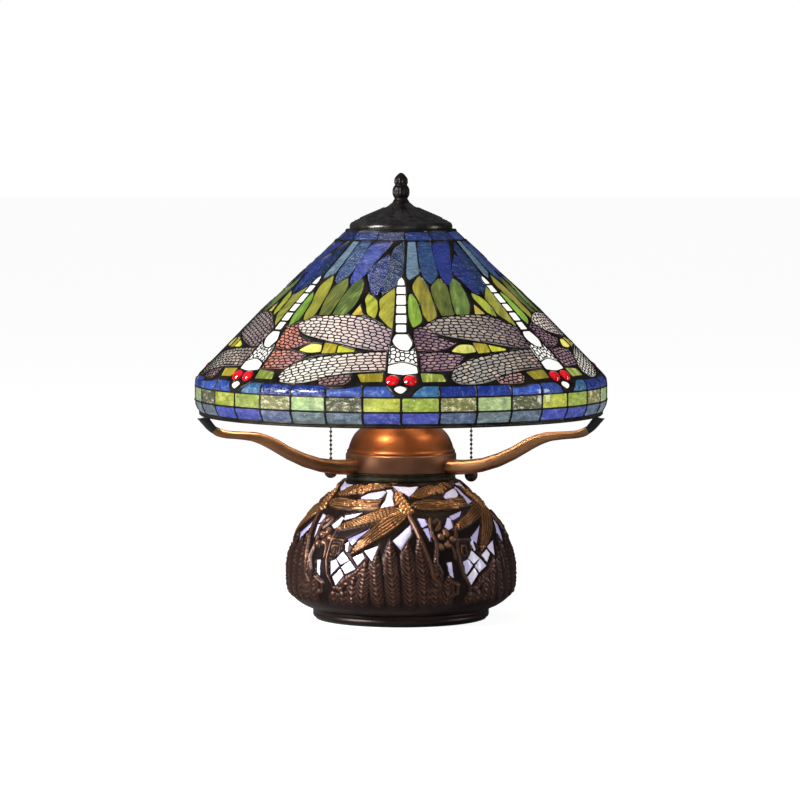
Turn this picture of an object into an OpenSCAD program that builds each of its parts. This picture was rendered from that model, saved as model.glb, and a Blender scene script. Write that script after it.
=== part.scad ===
// Stained glass table lamp with a leaded conical shade on a cast mosaic base.
// Millimetres, +Z up, the front faces -Y, origin at the centre of the felt under the foot.

/* [Base] */
// Thickness of the felt under the foot
felt_t = 1.5; // [1:0.1:2]
// Radius of the foot ring
foot_r = 86.7; // [86:0.1:88]
// Wall of the cast urn
urn_wall = 3.3; // [2.6:0.1:3.8]
// Radius of the hole for the mains cord
cord_r = 3.2; // [2.6:0.1:3.8]
// Radius of the stem pipe
pipe_r = 6.35; // [6:0.05:6.6]

/* [Hub and arms] */
// Radius of the band that carries the arms
band_r = 54.4; // [54:0.1:55]
// Number of shade arms round the hub
arm_count = 3; // [3:1:3]
// Width of an arm at its root
arm_w = 14; // [12:0.5:16]
// Width of an arm at its tip
arm_tip_w = 10; // [9:0.5:12]

/* [Shade] */
// Dragonflies round the shade
repeats = 7; // [7:1:7]
// Thickness of the leading across the shade wall
lead_t = 3; // [2.8:0.1:3.2]
// Depth of the glass face below the leading
glass_sink = 0.5; // [0.3:0.1:0.7]
// Thickness of the glass
glass_t = 2.2; // [1.8:0.1:2.2]
// Half the angle of lead between two border tiles
tile_gap = 0.5; // [0.4:0.05:0.6]

/* [Lights] */
// Distance of each lamp socket from the stem
socket_x = 48; // [47:0.5:50]
// Radius of a globe bulb
bulb_r = 27; // [24:0.5:28]
// Distance of each pull chain from the stem
chain_x = 69; // [69:0.5:71]
// Pitch of the beads in a pull chain
bead_pitch = 4.2; // [4:0.1:4.6]
// Radius of a bead
bead_r = 1.45; // [1.3:0.05:1.6]

/* [Cap and finial] */
// Thickness of the cap metal
cap_t = 1.5; // [1.2:0.1:1.8]
// Radius of the threaded riser
riser_r = 4.7; // [4.5:0.05:4.8]

/* [Hidden] */
$fn = 96;
turn = 360 / repeats;
tile = turn / 5;
slope_up = 43.3;
slope_low = 45.7;
bend_r = 138;
bend_z = 302.6;
edge_r = 203;
edge_z = 236;
crown_r = 54.5;
rim_z = 202.6;
seam = 0.015;
joint_z = 369;
bronze = [0.24, 0.16, 0.12];
copper = [0.62, 0.36, 0.2];
brass = [0.72, 0.55, 0.28];
lead = [0.12, 0.11, 0.1];

// outer line of the urn, radius and height
urn = [[88, 10.5], [97, 14.5], [103, 18.5], [107, 22.5], [110, 27], [111.7, 34], [111.7, 54],
  [110.3, 62], [108.3, 70], [105, 78], [102, 86], [97, 94], [91, 102], [84.3, 109.5],
  [76.5, 117], [67.6, 125], [59, 133], [54, 137]];
function urn_at(z) = lookup(z, [for (p = urn) [p[1], p[0]]]);

// height of the outside of the shade cone at a radius
function cone_z(r) = r < bend_r ? bend_z + (bend_r - r) * tan(slope_up)
  : bend_z - (r - bend_r) * tan(slope_low);

// One repeat of the shade pattern, each point as degrees from the dragonfly and plan radius.
leaves_blue = [
  [[6, 65], [12, 65], [10.3, 93], [9, 97], [4.5, 102], [3.2, 98], [4, 84]],
  [[14, 67], [19, 65], [25.2, 66], [23, 80], [21.5, 95], [19, 101], [15.7, 106], [13, 101],
    [12, 94], [12.2, 84]],
  [[28.4, 67], [44, 66], [40.5, 72], [35.5, 82], [31.4, 93], [29.8, 99], [25.3, 108],
    [23.2, 102], [23, 88], [25, 74]],
  [[41.5, 78], [43.6, 80], [43.4, 95], [41.6, 109], [40, 117], [37.2, 115], [34.2, 104],
    [31.8, 94], [37, 84]],
  [[45, 76], [47.8, 70], [52, 66], [53.6, 68], [52.7, 88], [51.6, 98], [49.4, 104], [48.4, 109],
    [42.4, 117], [41.9, 109], [44, 94]]];
leaves_green = [
  [[4.3, 116], [6.6, 121], [7.7, 132], [7.7, 142], [4.5, 147], [3.2, 138], [3.4, 121]],
  [[9.8, 99], [11.6, 103], [13.6, 113], [14.2, 128], [13.9, 138], [10.4, 142], [9, 135],
    [8.6, 126], [6.4, 115], [6.2, 107]],
  [[20.8, 101], [22.3, 105], [23.4, 113], [22, 128], [21.5, 136.5], [16.6, 137], [15.9, 131],
    [15, 120], [15.5, 109]],
  [[29.4, 101], [31.6, 106], [32, 115], [30.9, 127], [28.2, 136.5], [22.9, 136], [23.2, 124],
    [25.4, 109]],
  [[33.4, 127], [35.9, 136], [31.5, 136]],
  [[35.8, 116], [38.6, 119], [40.8, 124], [41.5, 133], [41, 139], [37.9, 135], [36.4, 127],
    [35.2, 121]],
  [[48.3, 110], [48.4, 131], [48.1, 148], [46.3, 145], [42.8, 137], [42.8, 131], [41.9, 123],
    [42.9, 119]]];
tails = [
  [[0, 99.5], [1.3, 103], [1.7, 107], [-1.7, 107], [-1.3, 103]],
  [[-2, 109.2], [2, 109.2], [2, 115.4], [-2, 115.4]],
  [[-1.9, 117.4], [1.9, 117.4], [1.9, 125.8], [-1.9, 125.8]],
  [[-1.8, 127.6], [1.8, 127.6], [1.8, 134], [-1.8, 134]],
  [[-1.9, 136.4], [1.9, 136.4], [1.9, 143], [-1.9, 143]],
  [[-1.7, 145], [1.7, 145], [1.7, 151], [-1.7, 151]]];
bodies = [
  [[-1.7, 153.5], [2, 153.5], [3.6, 161], [2.2, 167], [-0.4, 166], [-2.7, 159.5]],
  [[-3.5, 163], [-0.6, 167.2], [2.4, 168.2], [4.3, 165], [4.8, 171], [4.8, 180], [1, 177],
    [-3.7, 179], [-3.9, 170]],
  [[-3.7, 180.8], [0.6, 178.2], [4.5, 181.6], [4.7, 186.6], [0.6, 188], [-3.7, 186.6]],
  [[-0.9, 199.6], [0.9, 199.6], [0.9, 202.3], [-0.9, 202.3]]];
wings_left = [
  [[-3.3, 150], [-6, 146.5], [-9.5, 142.7], [-14, 138], [-20, 137], [-28, 137.3], [-35, 139],
    [-40, 142.5], [-42, 145.5], [-41.5, 148], [-38, 152.5], [-34, 155.5], [-26, 159],
    [-20, 161.8], [-14, 165], [-8, 167], [-4, 166.3]],
  [[-4.6, 168.6], [-10, 169.2], [-18, 171], [-25, 173], [-30, 176], [-34, 180.8],
    [-36.4, 187], [-37, 191.8], [-35.4, 196], [-31.4, 196.8], [-27, 195.4], [-21.5, 191],
    [-15, 186.8], [-10, 185.4], [-4.6, 184.6]]];
wings_right = [
  [[4.5, 149.5], [9, 145.3], [10.3, 150], [14.2, 157.2], [19, 161], [14.6, 165.8], [10, 167.8],
    [5.4, 167], [4.6, 160]],
  [[5.9, 169.4], [12, 169.2], [15, 170.2], [20, 172.6], [17.3, 180], [14.6, 184.8], [5.9, 185.2]],
  [[27.7, 193.2], [31.2, 190.2], [36.4, 187.7], [37.3, 192], [35.8, 196.6], [31.6, 197.4],
    [28.4, 197]]];
gaps = [
  [[19.8, 163.2], [24, 163.5], [24.6, 169], [20.7, 170], [16.6, 168.4]],
  [[25, 161.4], [29.6, 163], [29.8, 169.6], [25.4, 170.4]],
  [[30.4, 163.8], [36.2, 167.6], [36, 168.6], [30.6, 169.4]],
  [[-12.4, 188.4], [-5.3, 187.2], [-5.2, 194], [-11, 194.6]],
  [[5.7, 187.2], [11.8, 188.6], [12.4, 194.2], [6, 194.4]]];
eye_at = [-2.4, 2.5];
eye_r = 6.2;
eye_seat = 0.05;
eye_plan = 193.2;

// a point of the pattern in plan
function plan(p) = [p[1] * sin(p[0]), -p[1] * cos(p[0])];

// the same outline as an upright prism through the cone
module prism(outline) {
  translate([0, 0, 225])
    linear_extrude(height = 170)
      polygon([for (p = outline) plan(p)]);
}

// wall of the cone between two depths below its outer face
module cone_wall(near, far, angle = 360) {
  top = cone_z(crown_r);
  rotate([0, 0, -90])
    rotate_extrude(angle = angle)
      polygon([[crown_r, top - near * 1.374], [bend_r - near * 0.7, bend_z - near * 0.7],
        [edge_r - near, edge_z - near * 0.42], [edge_r - far, edge_z - far * 0.42],
        [bend_r - far * 0.7, bend_z - far * 0.7], [crown_r, top - far * 1.374]]);
}

module glass(list) {
  intersection() {
    cone_wall(glass_sink, glass_sink + glass_t);
    union() {
      for (k = [0:repeats - 1])
        rotate([0, 0, k * turn])
          for (one = list)
            prism(one);
    }
  }
}

module eye_frame(angle) {
  rotate([0, 0, angle])
    translate([0, -eye_plan, cone_z(eye_plan)])
      rotate([slope_low, 0, 0])
        children();
}

// every opening for glass in one repeat, in plan
module pattern_plan() {
  for (list = [leaves_blue, leaves_green, tails, bodies, wings_left, wings_right, gaps])
    for (one = list)
      polygon([for (p = one) plan(p)]);
}

crown_pane = [[0, 56], [turn / 2 - 1.8, 56], [turn / 2 - 1.8, 62.6], [turn / 4, 62.9],
  [0, 62.6]];

module crown_plan() {
  for (a = [0:1])
    rotate([0, 0, 4.3 + a * turn / 2])
      polygon([for (p = crown_pane) plan(p)]);
}

module eye_hole(angle) {
  eye_frame(angle)
    translate([0, 0, -6])
      cylinder(r = eye_r + eye_seat, h = 12, $fn = 48);
}

// border tiles by number, counted anticlockwise from the dragonfly
module tiles(profile, first, last) {
  for (k = [first:last])
    rotate([0, 0, -90 + k * tile + tile_gap])
      rotate_extrude(angle = tile - 2 * tile_gap)
        polygon(profile);
}

// the top row leaves room under each head for its chin
module top_tiles(first, last) {
  difference() {
    tiles(top_tile(), first, last);
    for (a = [0:repeats - 1])
      rotate([0, 0, a * turn])
        translate([-5, -220, 225])
          cube([10, 30, 20]);
  }
}

function top_tile() = [[198.8, 239.6], [edge_r - glass_sink, 235.8], [edge_r - glass_sink, 231],
  [edge_r - glass_sink - glass_t, 231], [edge_r - glass_sink - glass_t, 234.7],
  [198.8, 236.4]];
function middle_tile() = [[edge_r - glass_sink - glass_t, 217.5], [edge_r - glass_sink, 217.5],
  [edge_r - glass_sink, 229.5], [edge_r - glass_sink - glass_t, 229.5]];
function bottom_tile() = [[edge_r - glass_sink, 214.5], [edge_r - glass_sink, 212.4],
  [198, 204.2], [195.9, 204.2], [edge_r - glass_sink - glass_t, 213.1],
  [edge_r - glass_sink - glass_t, 214.5]];

module felt_pad() {
  color([0.12, 0.2, 0.14])
    cylinder(r = 84, h = felt_t);
}

module foot_ring() {
  color(bronze)
    difference() {
      rotate_extrude()
        polygon([[72, felt_t], [foot_r - 1.6, felt_t], [foot_r, felt_t + 1.4], [foot_r, 10.5],
          [72, 10.5]]);
      for (a = [0:120:359])
        rotate([0, 0, a + 60])
          translate([76.5, 0, 0]) {
            translate([0, 0, -1])
              cylinder(r = 2.1, h = 14, $fn = 32);
            translate([0, 0, -1])
              cylinder(r = 4.2, h = 6.5, $fn = 32);
          }
    }
}

module weight_plate() {
  color([0.2, 0.2, 0.21])
    difference() {
      translate([0, 0, 10.5])
        cylinder(r = 80.5, h = 6);
      translate([0, 0, 9])
        cylinder(r = pipe_r + 0.05, h = 9);
      for (a = [0:120:359])
        rotate([0, 0, a + 60])
          translate([76.5, 0, 9])
            cylinder(r = 2, h = 6.5, $fn = 32);
    }
}

module foot_screws() {
  color(brass)
    for (a = [0:120:359])
      rotate([0, 0, a + 60])
        translate([76.5, 0, 0]) {
          translate([0, 0, 5.5 - 2.4])
            cylinder(r = 4, h = 2.4, $fn = 32);
          translate([0, 0, 5])
            cylinder(r = 2, h = 10, $fn = 32);
        }
}

// one opening in the urn, points as degrees and height, cut square to the given direction
module urn_cut(points, aim, from, to) {
  rotate([0, 0, aim])
    translate([0, -from, 0])
      rotate([90, 0, 0])
        linear_extrude(height = to - from)
          polygon([for (p = points) [urn_at(p[1]) * sin(p[0] - aim), p[1]]]);
}

// panes of one fifth of the urn: aim, near radius and outline in degrees and height
panes = [
  [-28, 88, [[-32, 74.5], [-28, 67], [-32, 62.5], [-34.8, 67.5]]],
  [-28, 88, [[-35.8, 66.5], [-33, 61], [-36.8, 52.5], [-38.6, 65]]],
  [-28, 88, [[-27.2, 66], [-23.6, 59], [-28.8, 53.5], [-31.4, 60.5]]],
  [-28, 88, [[-32.2, 58.5], [-29.8, 52], [-34.4, 42], [-36.4, 50.5]]],
  [-28, 88, [[-20.8, 74], [-19, 69.3], [-22.6, 62.6], [-25.6, 69.2]]],
  [-18, 88, [[-12.3, 81], [-14.8, 66.5], [-19.3, 75.5]]],
  [0, 74, [[5.4, 100], [6, 92.5], [0, 77.3], [-4.5, 85.2]]],
  [14, 74, [[10.8, 107], [15, 106], [16.2, 88], [14.2, 87], [12.6, 98]]],
  [30, 74, [[31, 107], [33, 105.5], [32, 96.5], [29, 94.5], [26.7, 98], [28, 101]]],
  [-33, 66, [[-27.5, 111], [-31, 106], [-38, 102.5], [-39, 107]]],
  [25.5, 88, [[23, 65], [26.5, 65.5], [27, 50], [25, 53]]]];

// panes in the shoulder, let straight down through it: outline in degrees and plan radius
shoulder_panes = [
  [[-34, 70], [-34, 68], [-29, 65], [-16, 62], [-14, 63], [-16.5, 68], [-20, 70.5]],
  [[-12.6, 62], [-9, 61.5], [-7.2, 65], [-7, 70], [-5.2, 76], [-14.6, 78], [-12.4, 71]],
  [[-6, 58.5], [8, 58.5], [15, 58.5], [11, 63], [7, 67], [3, 64], [-2, 62.5]]];

module base_shell() {
  thin = 1 - urn_wall / 111.7;
  color(bronze)
    difference() {
      union() {
        rotate_extrude()
          polygon(concat([[0, 10.5]], urn, [[0, 137]]));
        translate([0, 96, 26])
          rotate([-90, 0, 0])
            cylinder(r = 10, h = 17, $fn = 48);
      }
      translate([0, 0, 55])
        rotate_extrude()
          polygon(concat([[0, -44.5 * thin]], [for (p = urn) [p[0] * thin, (p[1] - 55) * thin]],
            [[0, 82 * thin]]));
      translate([0, 0, 10])
        cylinder(r = 80.8, h = 4);
      translate([0, 0, 130])
        cylinder(r = 40, h = 8);
      translate([0, 92, 26])
        rotate([-90, 0, 0])
          cylinder(r = 6, h = 24, $fn = 48);
      for (k = [0:4])
        rotate([0, 0, 72 * k]) {
          for (w = panes)
            urn_cut(w[2], w[0], w[1], 118);
          for (w = shoulder_panes)
            translate([0, 0, 108])
              linear_extrude(height = 30)
                polygon([for (p = w) plan(p)]);
        }
    }
}

module base_mosaic() {
  outer = 1 - 1.2 / 111.7;
  inner = 1 - 3 / 111.7;
  color([0.8, 0.8, 0.98, 0.5])
    intersection() {
      translate([0, 0, 55])
        difference() {
          rotate_extrude()
            polygon(concat([[0, -44.5 * outer]],
              [for (p = urn) [p[0] * outer, (p[1] - 55) * outer]], [[0, 82 * outer]]));
          rotate_extrude()
            polygon(concat([[0, -44.5 * inner]],
              [for (p = urn) [p[0] * inner, (p[1] - 55) * inner]], [[0, 82 * inner]]));
        }
      for (k = [0:4])
        rotate([0, 0, 72 * k]) {
          for (w = panes)
            urn_cut(w[2], w[0], w[1], 118);
          for (w = shoulder_panes)
            translate([0, 0, 108])
              linear_extrude(height = 30)
                polygon([for (p = w) plan(p)]);
        }
    }
}

module cord_bushing() {
  color([0.08, 0.08, 0.08])
    difference() {
      union() {
        translate([0, 100, 26])
          rotate([-90, 0, 0])
            cylinder(r = 5.9, h = 13.5, $fn = 48);
        translate([0, 113, 26])
          rotate([-90, 0, 0])
            cylinder(r = 8, h = 2, $fn = 48);
      }
      translate([0, 99, 26])
        rotate([-90, 0, 0])
          cylinder(r = cord_r, h = 18, $fn = 48);
    }
}

module stem_pipe() {
  color([0.5, 0.5, 0.5])
    difference() {
      translate([0, 0, 3.5])
        cylinder(r = pipe_r, h = 200.5, $fn = 64);
      translate([0, 0, 3])
        cylinder(r = pipe_r - 1.6, h = 202, $fn = 64);
      translate([0, 0, 26])
        rotate([-90, 0, 0])
          cylinder(r = 3, h = 10, $fn = 32);
    }
}

module hex_nut(bore, flat, thick) {
  linear_extrude(height = thick)
    difference() {
      circle(r = flat / 2 / cos(30), $fn = 6);
      circle(r = bore, $fn = 64);
    }
}

module stem_nuts() {
  color(brass) {
    translate([0, 0, 4.5])
      hex_nut(pipe_r + 0.02, 20, 6);
    translate([0, 0, 16.5])
      hex_nut(pipe_r + 0.02, 20, 6);
    translate([0, 0, 199])
      hex_nut(pipe_r + 0.02, 20, 4.5);
  }
}

module neck_ring() {
  color([0.13, 0.15, 0.13])
    difference() {
      rotate_extrude()
        polygon([[0, 137], [52.6, 137], [53.6, 138.5], [53.6, 140.6], [52.4, 141.4], [52.4, 142.6],
          [53.8, 143.4], [53.8, 145], [0, 145]]);
      translate([0, 0, 130])
        cylinder(r = pipe_r + 0.05, h = 20, $fn = 64);
      translate([0, 0, 136])
        cylinder(r = 38, h = 5.5);
    }
}

module hub_band() {
  color(copper)
    difference() {
      rotate_extrude()
        polygon([[49, 145], [band_r - 0.6, 145], [band_r, 145.8], [band_r, 161.6],
          [band_r - 1, 162.2], [band_r - 1, 163], [49, 163]]);
      for (a = [0:120:359])
        rotate([0, 0, a])
          for (x = [-3.6, 3.6])
            translate([x, 48, 150])
              rotate([-90, 0, 0])
                cylinder(r = 1.5, h = 10, $fn = 24);
    }
}

module hub_dome() {
  color(copper)
    rotate_extrude()
      polygon([[band_r - 1.2, 163], [band_r - 1.2, 164], [52.6, 165], [51.5, 169], [50, 172.7],
        [48, 176.7], [45.6, 180.6], [42.1, 184.5], [37, 188.7], [31, 192.3], [24, 195.4],
        [16, 197.8], [6.5, 199], [6.5, 197], [16, 195.8], [23.4, 193.5], [30, 190.5],
        [35.7, 187.1], [40.6, 183], [44, 179.3], [46.2, 175.7], [48.1, 172], [49.6, 168.5],
        [50.5, 165], [50.5, 163]]);
}

// side view of an arm from the band to where the black tip starts, radius and height
arm_side = [[0, 143], [62, 143], [73, 144], [91, 147], [109, 152.5], [127, 160.8], [145, 171],
  [156, 176.6], [166, 180.2], [180, 182.4], [194, 183.8], [203, 186], [209, 190],
  [205.4, 196.2], [198, 192.6], [184, 190.4], [161, 188.8], [150, 186], [138, 181],
  [125, 173.5], [109, 166.6], [91, 160.8], [73, 158.4], [60, 158], [0, 158]];
tip_side = [[209, 190], [214, 193.5], [218.5, 198.6], [223.6, 204.4], [218.5, 203.6],
  [213, 206], [209.6, 201], [205.4, 196.2]];
core_side = [[205.8, 192.2], [208.4, 190.6], [214.6, 197.4], [212.4, 199.4]];

module arm_blank(side) {
  intersection() {
    translate([-10, 0, 0])
      rotate([90, 0, 90])
        linear_extrude(height = 20)
          polygon(side);
    translate([0, 0, 130])
      linear_extrude(height = 90)
        polygon([[-arm_w / 2 - 2, 40], [arm_w / 2 + 2, 40], [arm_w / 2, 75],
          [arm_tip_w / 2, 150], [arm_tip_w / 2, 230], [-arm_tip_w / 2, 230],
          [-arm_tip_w / 2, 150], [-arm_w / 2, 75]]);
  }
}

module core_bar() {
  intersection() {
    translate([-3, 0, 0])
      rotate([90, 0, 90])
        linear_extrude(height = 6)
          polygon(core_side);
    translate([-3, 190, 180])
      cube([6, 40, 30]);
  }
}

module arm() {
  color(copper)
    union() {
      difference() {
        arm_blank(arm_side);
        translate([0, 0, 140])
          cylinder(r = band_r, h = 30);
        for (x = [-3.6, 3.6])
          translate([x, 50, 150])
            rotate([-90, 0, 0])
              cylinder(r = 1.5, h = 14, $fn = 24);
      }
      core_bar();
    }
}

module arm_left() {
  rotate([0, 0, 120])
    arm();
}

module arm_right() {
  rotate([0, 0, -120])
    arm();
}

module arm_rear() {
  arm();
}

module arm_tips() {
  color([0.06, 0.06, 0.06])
    for (a = [0:360 / arm_count:359])
      rotate([0, 0, a])
        difference() {
          arm_blank(tip_side);
          core_bar();
        }
}

module arm_screws() {
  color(brass)
    for (a = [0:360 / arm_count:359])
      rotate([0, 0, a])
        for (x = [-3.6, 3.6])
          translate([x, 0, 150])
            rotate([-90, 0, 0]) {
              translate([0, 0, 46])
                cylinder(r = 2.8, h = 2.7, $fn = 24);
              translate([0, 0, 48.6])
                cylinder(r = 1.5, h = 14, $fn = 24);
            }
}

module night_socket() {
  color([0.85, 0.82, 0.75])
    translate([-40, 0, 16.5])
      difference() {
        union() {
          cylinder(r = 14, h = 3, $fn = 48);
          cylinder(r = 10.5, h = 34, $fn = 48);
        }
        translate([0, 0, 10])
          cylinder(r = 7.4, h = 26, $fn = 48);
      }
}

module night_bulb() {
  color([1, 0.95, 0.85, 0.6])
    translate([-40, 0, 0])
      union() {
        translate([0, 0, 28])
          cylinder(r = 7, h = 26, $fn = 48);
        translate([0, 0, 68])
          sphere(r = 15, $fn = 48);
        translate([0, 0, 50.5])
          cylinder(r1 = 8, r2 = 13, h = 10, $fn = 48);
      }
}

module wiring() {
  color([0.1, 0.1, 0.1])
    union() {
      translate([0, 0, 26])
        rotate([-90, 0, 0])
          cylinder(r = 2.4, h = 100, $fn = 24);
      translate([0, 0, 26])
        sphere(r = 2.4, $fn = 24);
      translate([0, 0, 26])
        cylinder(r = 2.4, h = 188, $fn = 24);
      translate([0, 0, 213])
        sphere(r = 2.8, $fn = 24);
      translate([-socket_x, 0, 213])
        rotate([0, 90, 0])
          cylinder(r = 1.8, h = 2 * socket_x, $fn = 24);
      for (x = [-socket_x, socket_x])
        translate([x, 0, 213]) {
          sphere(r = 1.8, $fn = 24);
          cylinder(r = 1.8, h = 14, $fn = 24);
        }
    }
}

module cluster_body() {
  color(brass)
    difference() {
      translate([0, 0, 203.8])
        rotate_extrude()
          polygon([[pipe_r, 0], [12, 0], [16, 3], [16, 15], [12, 18.2], [riser_r, 18.2],
            [riser_r, 15.8], [11, 15.8], [13.6, 13.6], [13.6, 4.4], [11, 2.2], [pipe_r, 2.2]]);
      translate([-20, 0, 213])
        rotate([0, 90, 0])
          cylinder(r = 5, h = 40, $fn = 48);
    }
}

module cluster_arms() {
  color(brass)
    for (s = [0, 180])
      rotate([0, 0, s])
        difference() {
          union() {
            translate([14, 0, 213])
              rotate([0, 90, 0])
                cylinder(r = 5, h = socket_x - 14, $fn = 48);
            translate([socket_x, 0, 213])
              sphere(r = 6.4, $fn = 48);
            translate([socket_x, 0, 213])
              cylinder(r = 5, h = 10, $fn = 48);
          }
          translate([12, 0, 213])
            rotate([0, 90, 0])
              cylinder(r = 2.4, h = socket_x - 12, $fn = 32);
          translate([socket_x, 0, 213])
            sphere(r = 2.4, $fn = 32);
          translate([socket_x, 0, 213])
            cylinder(r = 2.4, h = 12, $fn = 32);
        }
}

module riser_rod() {
  color(brass)
    translate([0, 0, 217])
      cylinder(r = riser_r, h = joint_z - 217, $fn = 64);
}

// threaded nipple from the coupling nut up through the spider and cap into the finial
module riser_nipple() {
  color(brass)
    translate([0, 0, joint_z])
      cylinder(r = riser_r, h = 421 - joint_z, $fn = 64);
}

module riser_nuts() {
  color(brass) {
    translate([0, 0, 222])
      hex_nut(riser_r + 0.02, 16, 6);
    translate([0, 0, 366])
      hex_nut(riser_r + 0.02, 16, 6);
    translate([0, 0, 372])
      linear_extrude(height = 4)
        difference() {
          circle(r = 12);
          circle(r = riser_r + 0.02, $fn = 64);
        }
  }
}

module socket_caps() {
  color(brass)
    for (x = [-socket_x, socket_x])
      translate([x, 0, 223])
        rotate_extrude()
          polygon([[2.4, 0], [9, 0], [15, 3], [18, 8], [18, 12], [16.6, 12], [16.6, 8.6],
            [14, 4.6], [8.6, 1.8], [2.4, 1.8]]);
}

module socket_shells() {
  color(brass)
    for (s = [-1, 1])
      translate([s * socket_x, 0, 0])
        difference() {
          translate([0, 0, 235])
            linear_extrude(height = 35)
              difference() {
                circle(r = 18);
                circle(r = 16.8);
              }
          translate([s * 12, 0, 246])
            rotate([0, s * 90, 0])
              cylinder(r = 3.4, h = 10, $fn = 32);
        }
}

module socket_liners() {
  color([0.9, 0.88, 0.82])
    for (x = [-socket_x, socket_x])
      translate([x, 0, 232])
        difference() {
          cylinder(r = 16.5, h = 37);
          translate([0, 0, 9])
            cylinder(r = 13.4, h = 30);
        }
}

module pull_bells() {
  color(brass)
    for (s = [0, 180])
      rotate([0, 0, s])
        difference() {
          union() {
            translate([socket_x + 17, 0, 246])
              rotate([0, 90, 0])
                cylinder(r = 3.3, h = chain_x - socket_x - 17, $fn = 32);
            translate([chain_x, 0, 240])
              cylinder(r = 2.8, h = 10, $fn = 32);
          }
          translate([chain_x, 0, 238])
            cylinder(r = 1.6, h = 10.4, $fn = 32);
        }
}

module bulb_screw(x) {
  color([0.75, 0.75, 0.74])
    translate([x, 0, 0])
      union() {
        translate([0, 0, 242.6])
          cylinder(r1 = 6, r2 = 12.6, h = 4, $fn = 64);
        translate([0, 0, 246.6])
          cylinder(r = 13, h = 24, $fn = 64);
      }
}

module bulb_globe(x) {
  centre = 300;
  color([1, 0.96, 0.88, 0.6])
    translate([x, 0, 0])
      difference() {
        union() {
          translate([0, 0, 270.6])
            cylinder(r1 = 12.5, r2 = 17, h = 10, $fn = 64);
          translate([0, 0, centre])
            sphere(r = bulb_r, $fn = 96);
        }
        translate([0, 0, 270])
          cylinder(r1 = 11, r2 = 15.6, h = 10.6, $fn = 64);
        translate([0, 0, centre])
          sphere(r = bulb_r - 1, $fn = 96);
      }
}

module bulb_screw_left() {
  bulb_screw(-socket_x);
}

module bulb_globe_left() {
  bulb_globe(-socket_x);
}

module bulb_screw_right() {
  bulb_screw(socket_x);
}

module bulb_globe_right() {
  bulb_globe(socket_x);
}

module pull_pin(x) {
  color(brass)
    translate([x, 0, 0])
      union() {
        translate([0, 0, 238])
          cylinder(r = 1.1, h = 9.6, $fn = 32);
        translate([-1.3, 0, 237.6])
          rotate([0, 90, 0])
            cylinder(r = 1.4, h = 2.6, $fn = 32);
      }
}

module pull_pin_left() {
  pull_pin(-chain_x);
}

module pull_pin_right() {
  pull_pin(chain_x);
}

// beads hang from below the pin down to the knob
module chain(x, low) {
  top = 234;
  count = floor((top - low - bead_r) / bead_pitch);
  color([0.1, 0.09, 0.08])
    translate([x, 0, 0])
      union() {
        for (k = [0:count])
          translate([0, 0, top - k * bead_pitch])
            sphere(r = bead_r, $fn = 24);
        translate([0, 0, low])
          cylinder(r = 0.5, h = top - low + 1.6, $fn = 16);
      }
}

module knob(x, centre) {
  color([0.07, 0.06, 0.05])
    translate([x, 0, centre])
      union() {
        sphere(r = 6.5, $fn = 64);
        translate([0, 0, 4.5])
          cylinder(r1 = 3.4, r2 = 1.8, h = 4.5, $fn = 32);
      }
}

module chain_left() {
  chain(-chain_x, 152.5);
}

module knob_left() {
  knob(-chain_x, 143.5);
}

module chain_right() {
  chain(chain_x, 149);
}

module knob_right() {
  knob(chain_x, 140);
}

module crown_ring() {
  color(brass)
    rotate_extrude()
      polygon([[47, 376.6], [crown_r, 376.6], [crown_r, 380.6], [53, 382], [47, 382]]);
}

module spider() {
  color(brass)
    difference() {
      union() {
        translate([0, 0, 376])
          cylinder(r = 9.5, h = 5.4);
        intersection() {
          for (a = [30:120:359])
            rotate([0, 0, a])
              translate([5, -3.5, 377])
                cube([45, 7, 3]);
          translate([0, 0, 375])
            cylinder(r = 47, h = 8);
        }
      }
      translate([0, 0, 370])
        cylinder(r = riser_r + 0.4, h = 16, $fn = 64);
    }
}

// a quarter of a repeat of the cone leading, the first quarter starting at the dragonfly
module cone_panel(part) {
  from = part * turn / 4;
  to = from + turn / 4;
  difference() {
    intersection() {
      cone_wall(0, lead_t);
      translate([0, 0, 225])
        linear_extrude(height = 170)
          difference() {
            polygon([plan([from + seam, 50]), plan([to - seam, 50]), plan([to - seam, 240]),
              plan([from + seam, 240])]);
            for (a = [-turn, 0, turn])
              rotate([0, 0, a]) {
                pattern_plan();
                crown_plan();
              }
          }
    }
    if (part == 0)
      eye_hole(eye_at[1]);
    if (part == 3)
      eye_hole(turn + eye_at[0]);
    top_tiles(floor(from / tile), ceil(to / tile) - 1);
  }
}

module leading_cone() {
  color(lead)
    for (k = [0:repeats - 1])
      rotate([0, 0, k * turn])
        for (part = [0:3])
          cone_panel(part);
}

// a quarter of a repeat of the skirt leading
module skirt_panel(part) {
  from = part * turn / 4;
  first = floor(from / tile);
  last = ceil((from + turn / 4) / tile) - 1;
  difference() {
    rotate([0, 0, -90 + from + seam])
      rotate_extrude(angle = turn / 4 - 2 * seam)
        polygon([[edge_r, edge_z], [edge_r, 212.6], [197.8, rim_z], [194.8, rim_z],
          [edge_r - lead_t, 213.2], [edge_r - lead_t, edge_z - lead_t * 0.42]]);
    top_tiles(first, last);
    tiles(middle_tile(), first, last);
    tiles(bottom_tile(), first, last);
  }
}

module leading_skirt() {
  color(lead)
    for (k = [0:repeats - 1])
      rotate([0, 0, k * turn])
        for (part = [0:3])
          skirt_panel(part);
}

module rim_wire() {
  color(brass)
    rotate_extrude()
      polygon([[194.4, rim_z - 1.8], [197.4, rim_z - 1.8], [198.2, rim_z - 1], [198.2, rim_z],
        [194.4, rim_z]]);
}

module crown_glass() {
  color([0.2, 0.3, 0.75, 0.6])
    intersection() {
      cone_wall(glass_sink, glass_sink + glass_t);
      translate([0, 0, 300])
        linear_extrude(height = 90)
          for (k = [0:repeats - 1])
            rotate([0, 0, k * turn])
              crown_plan();
    }
}

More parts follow.
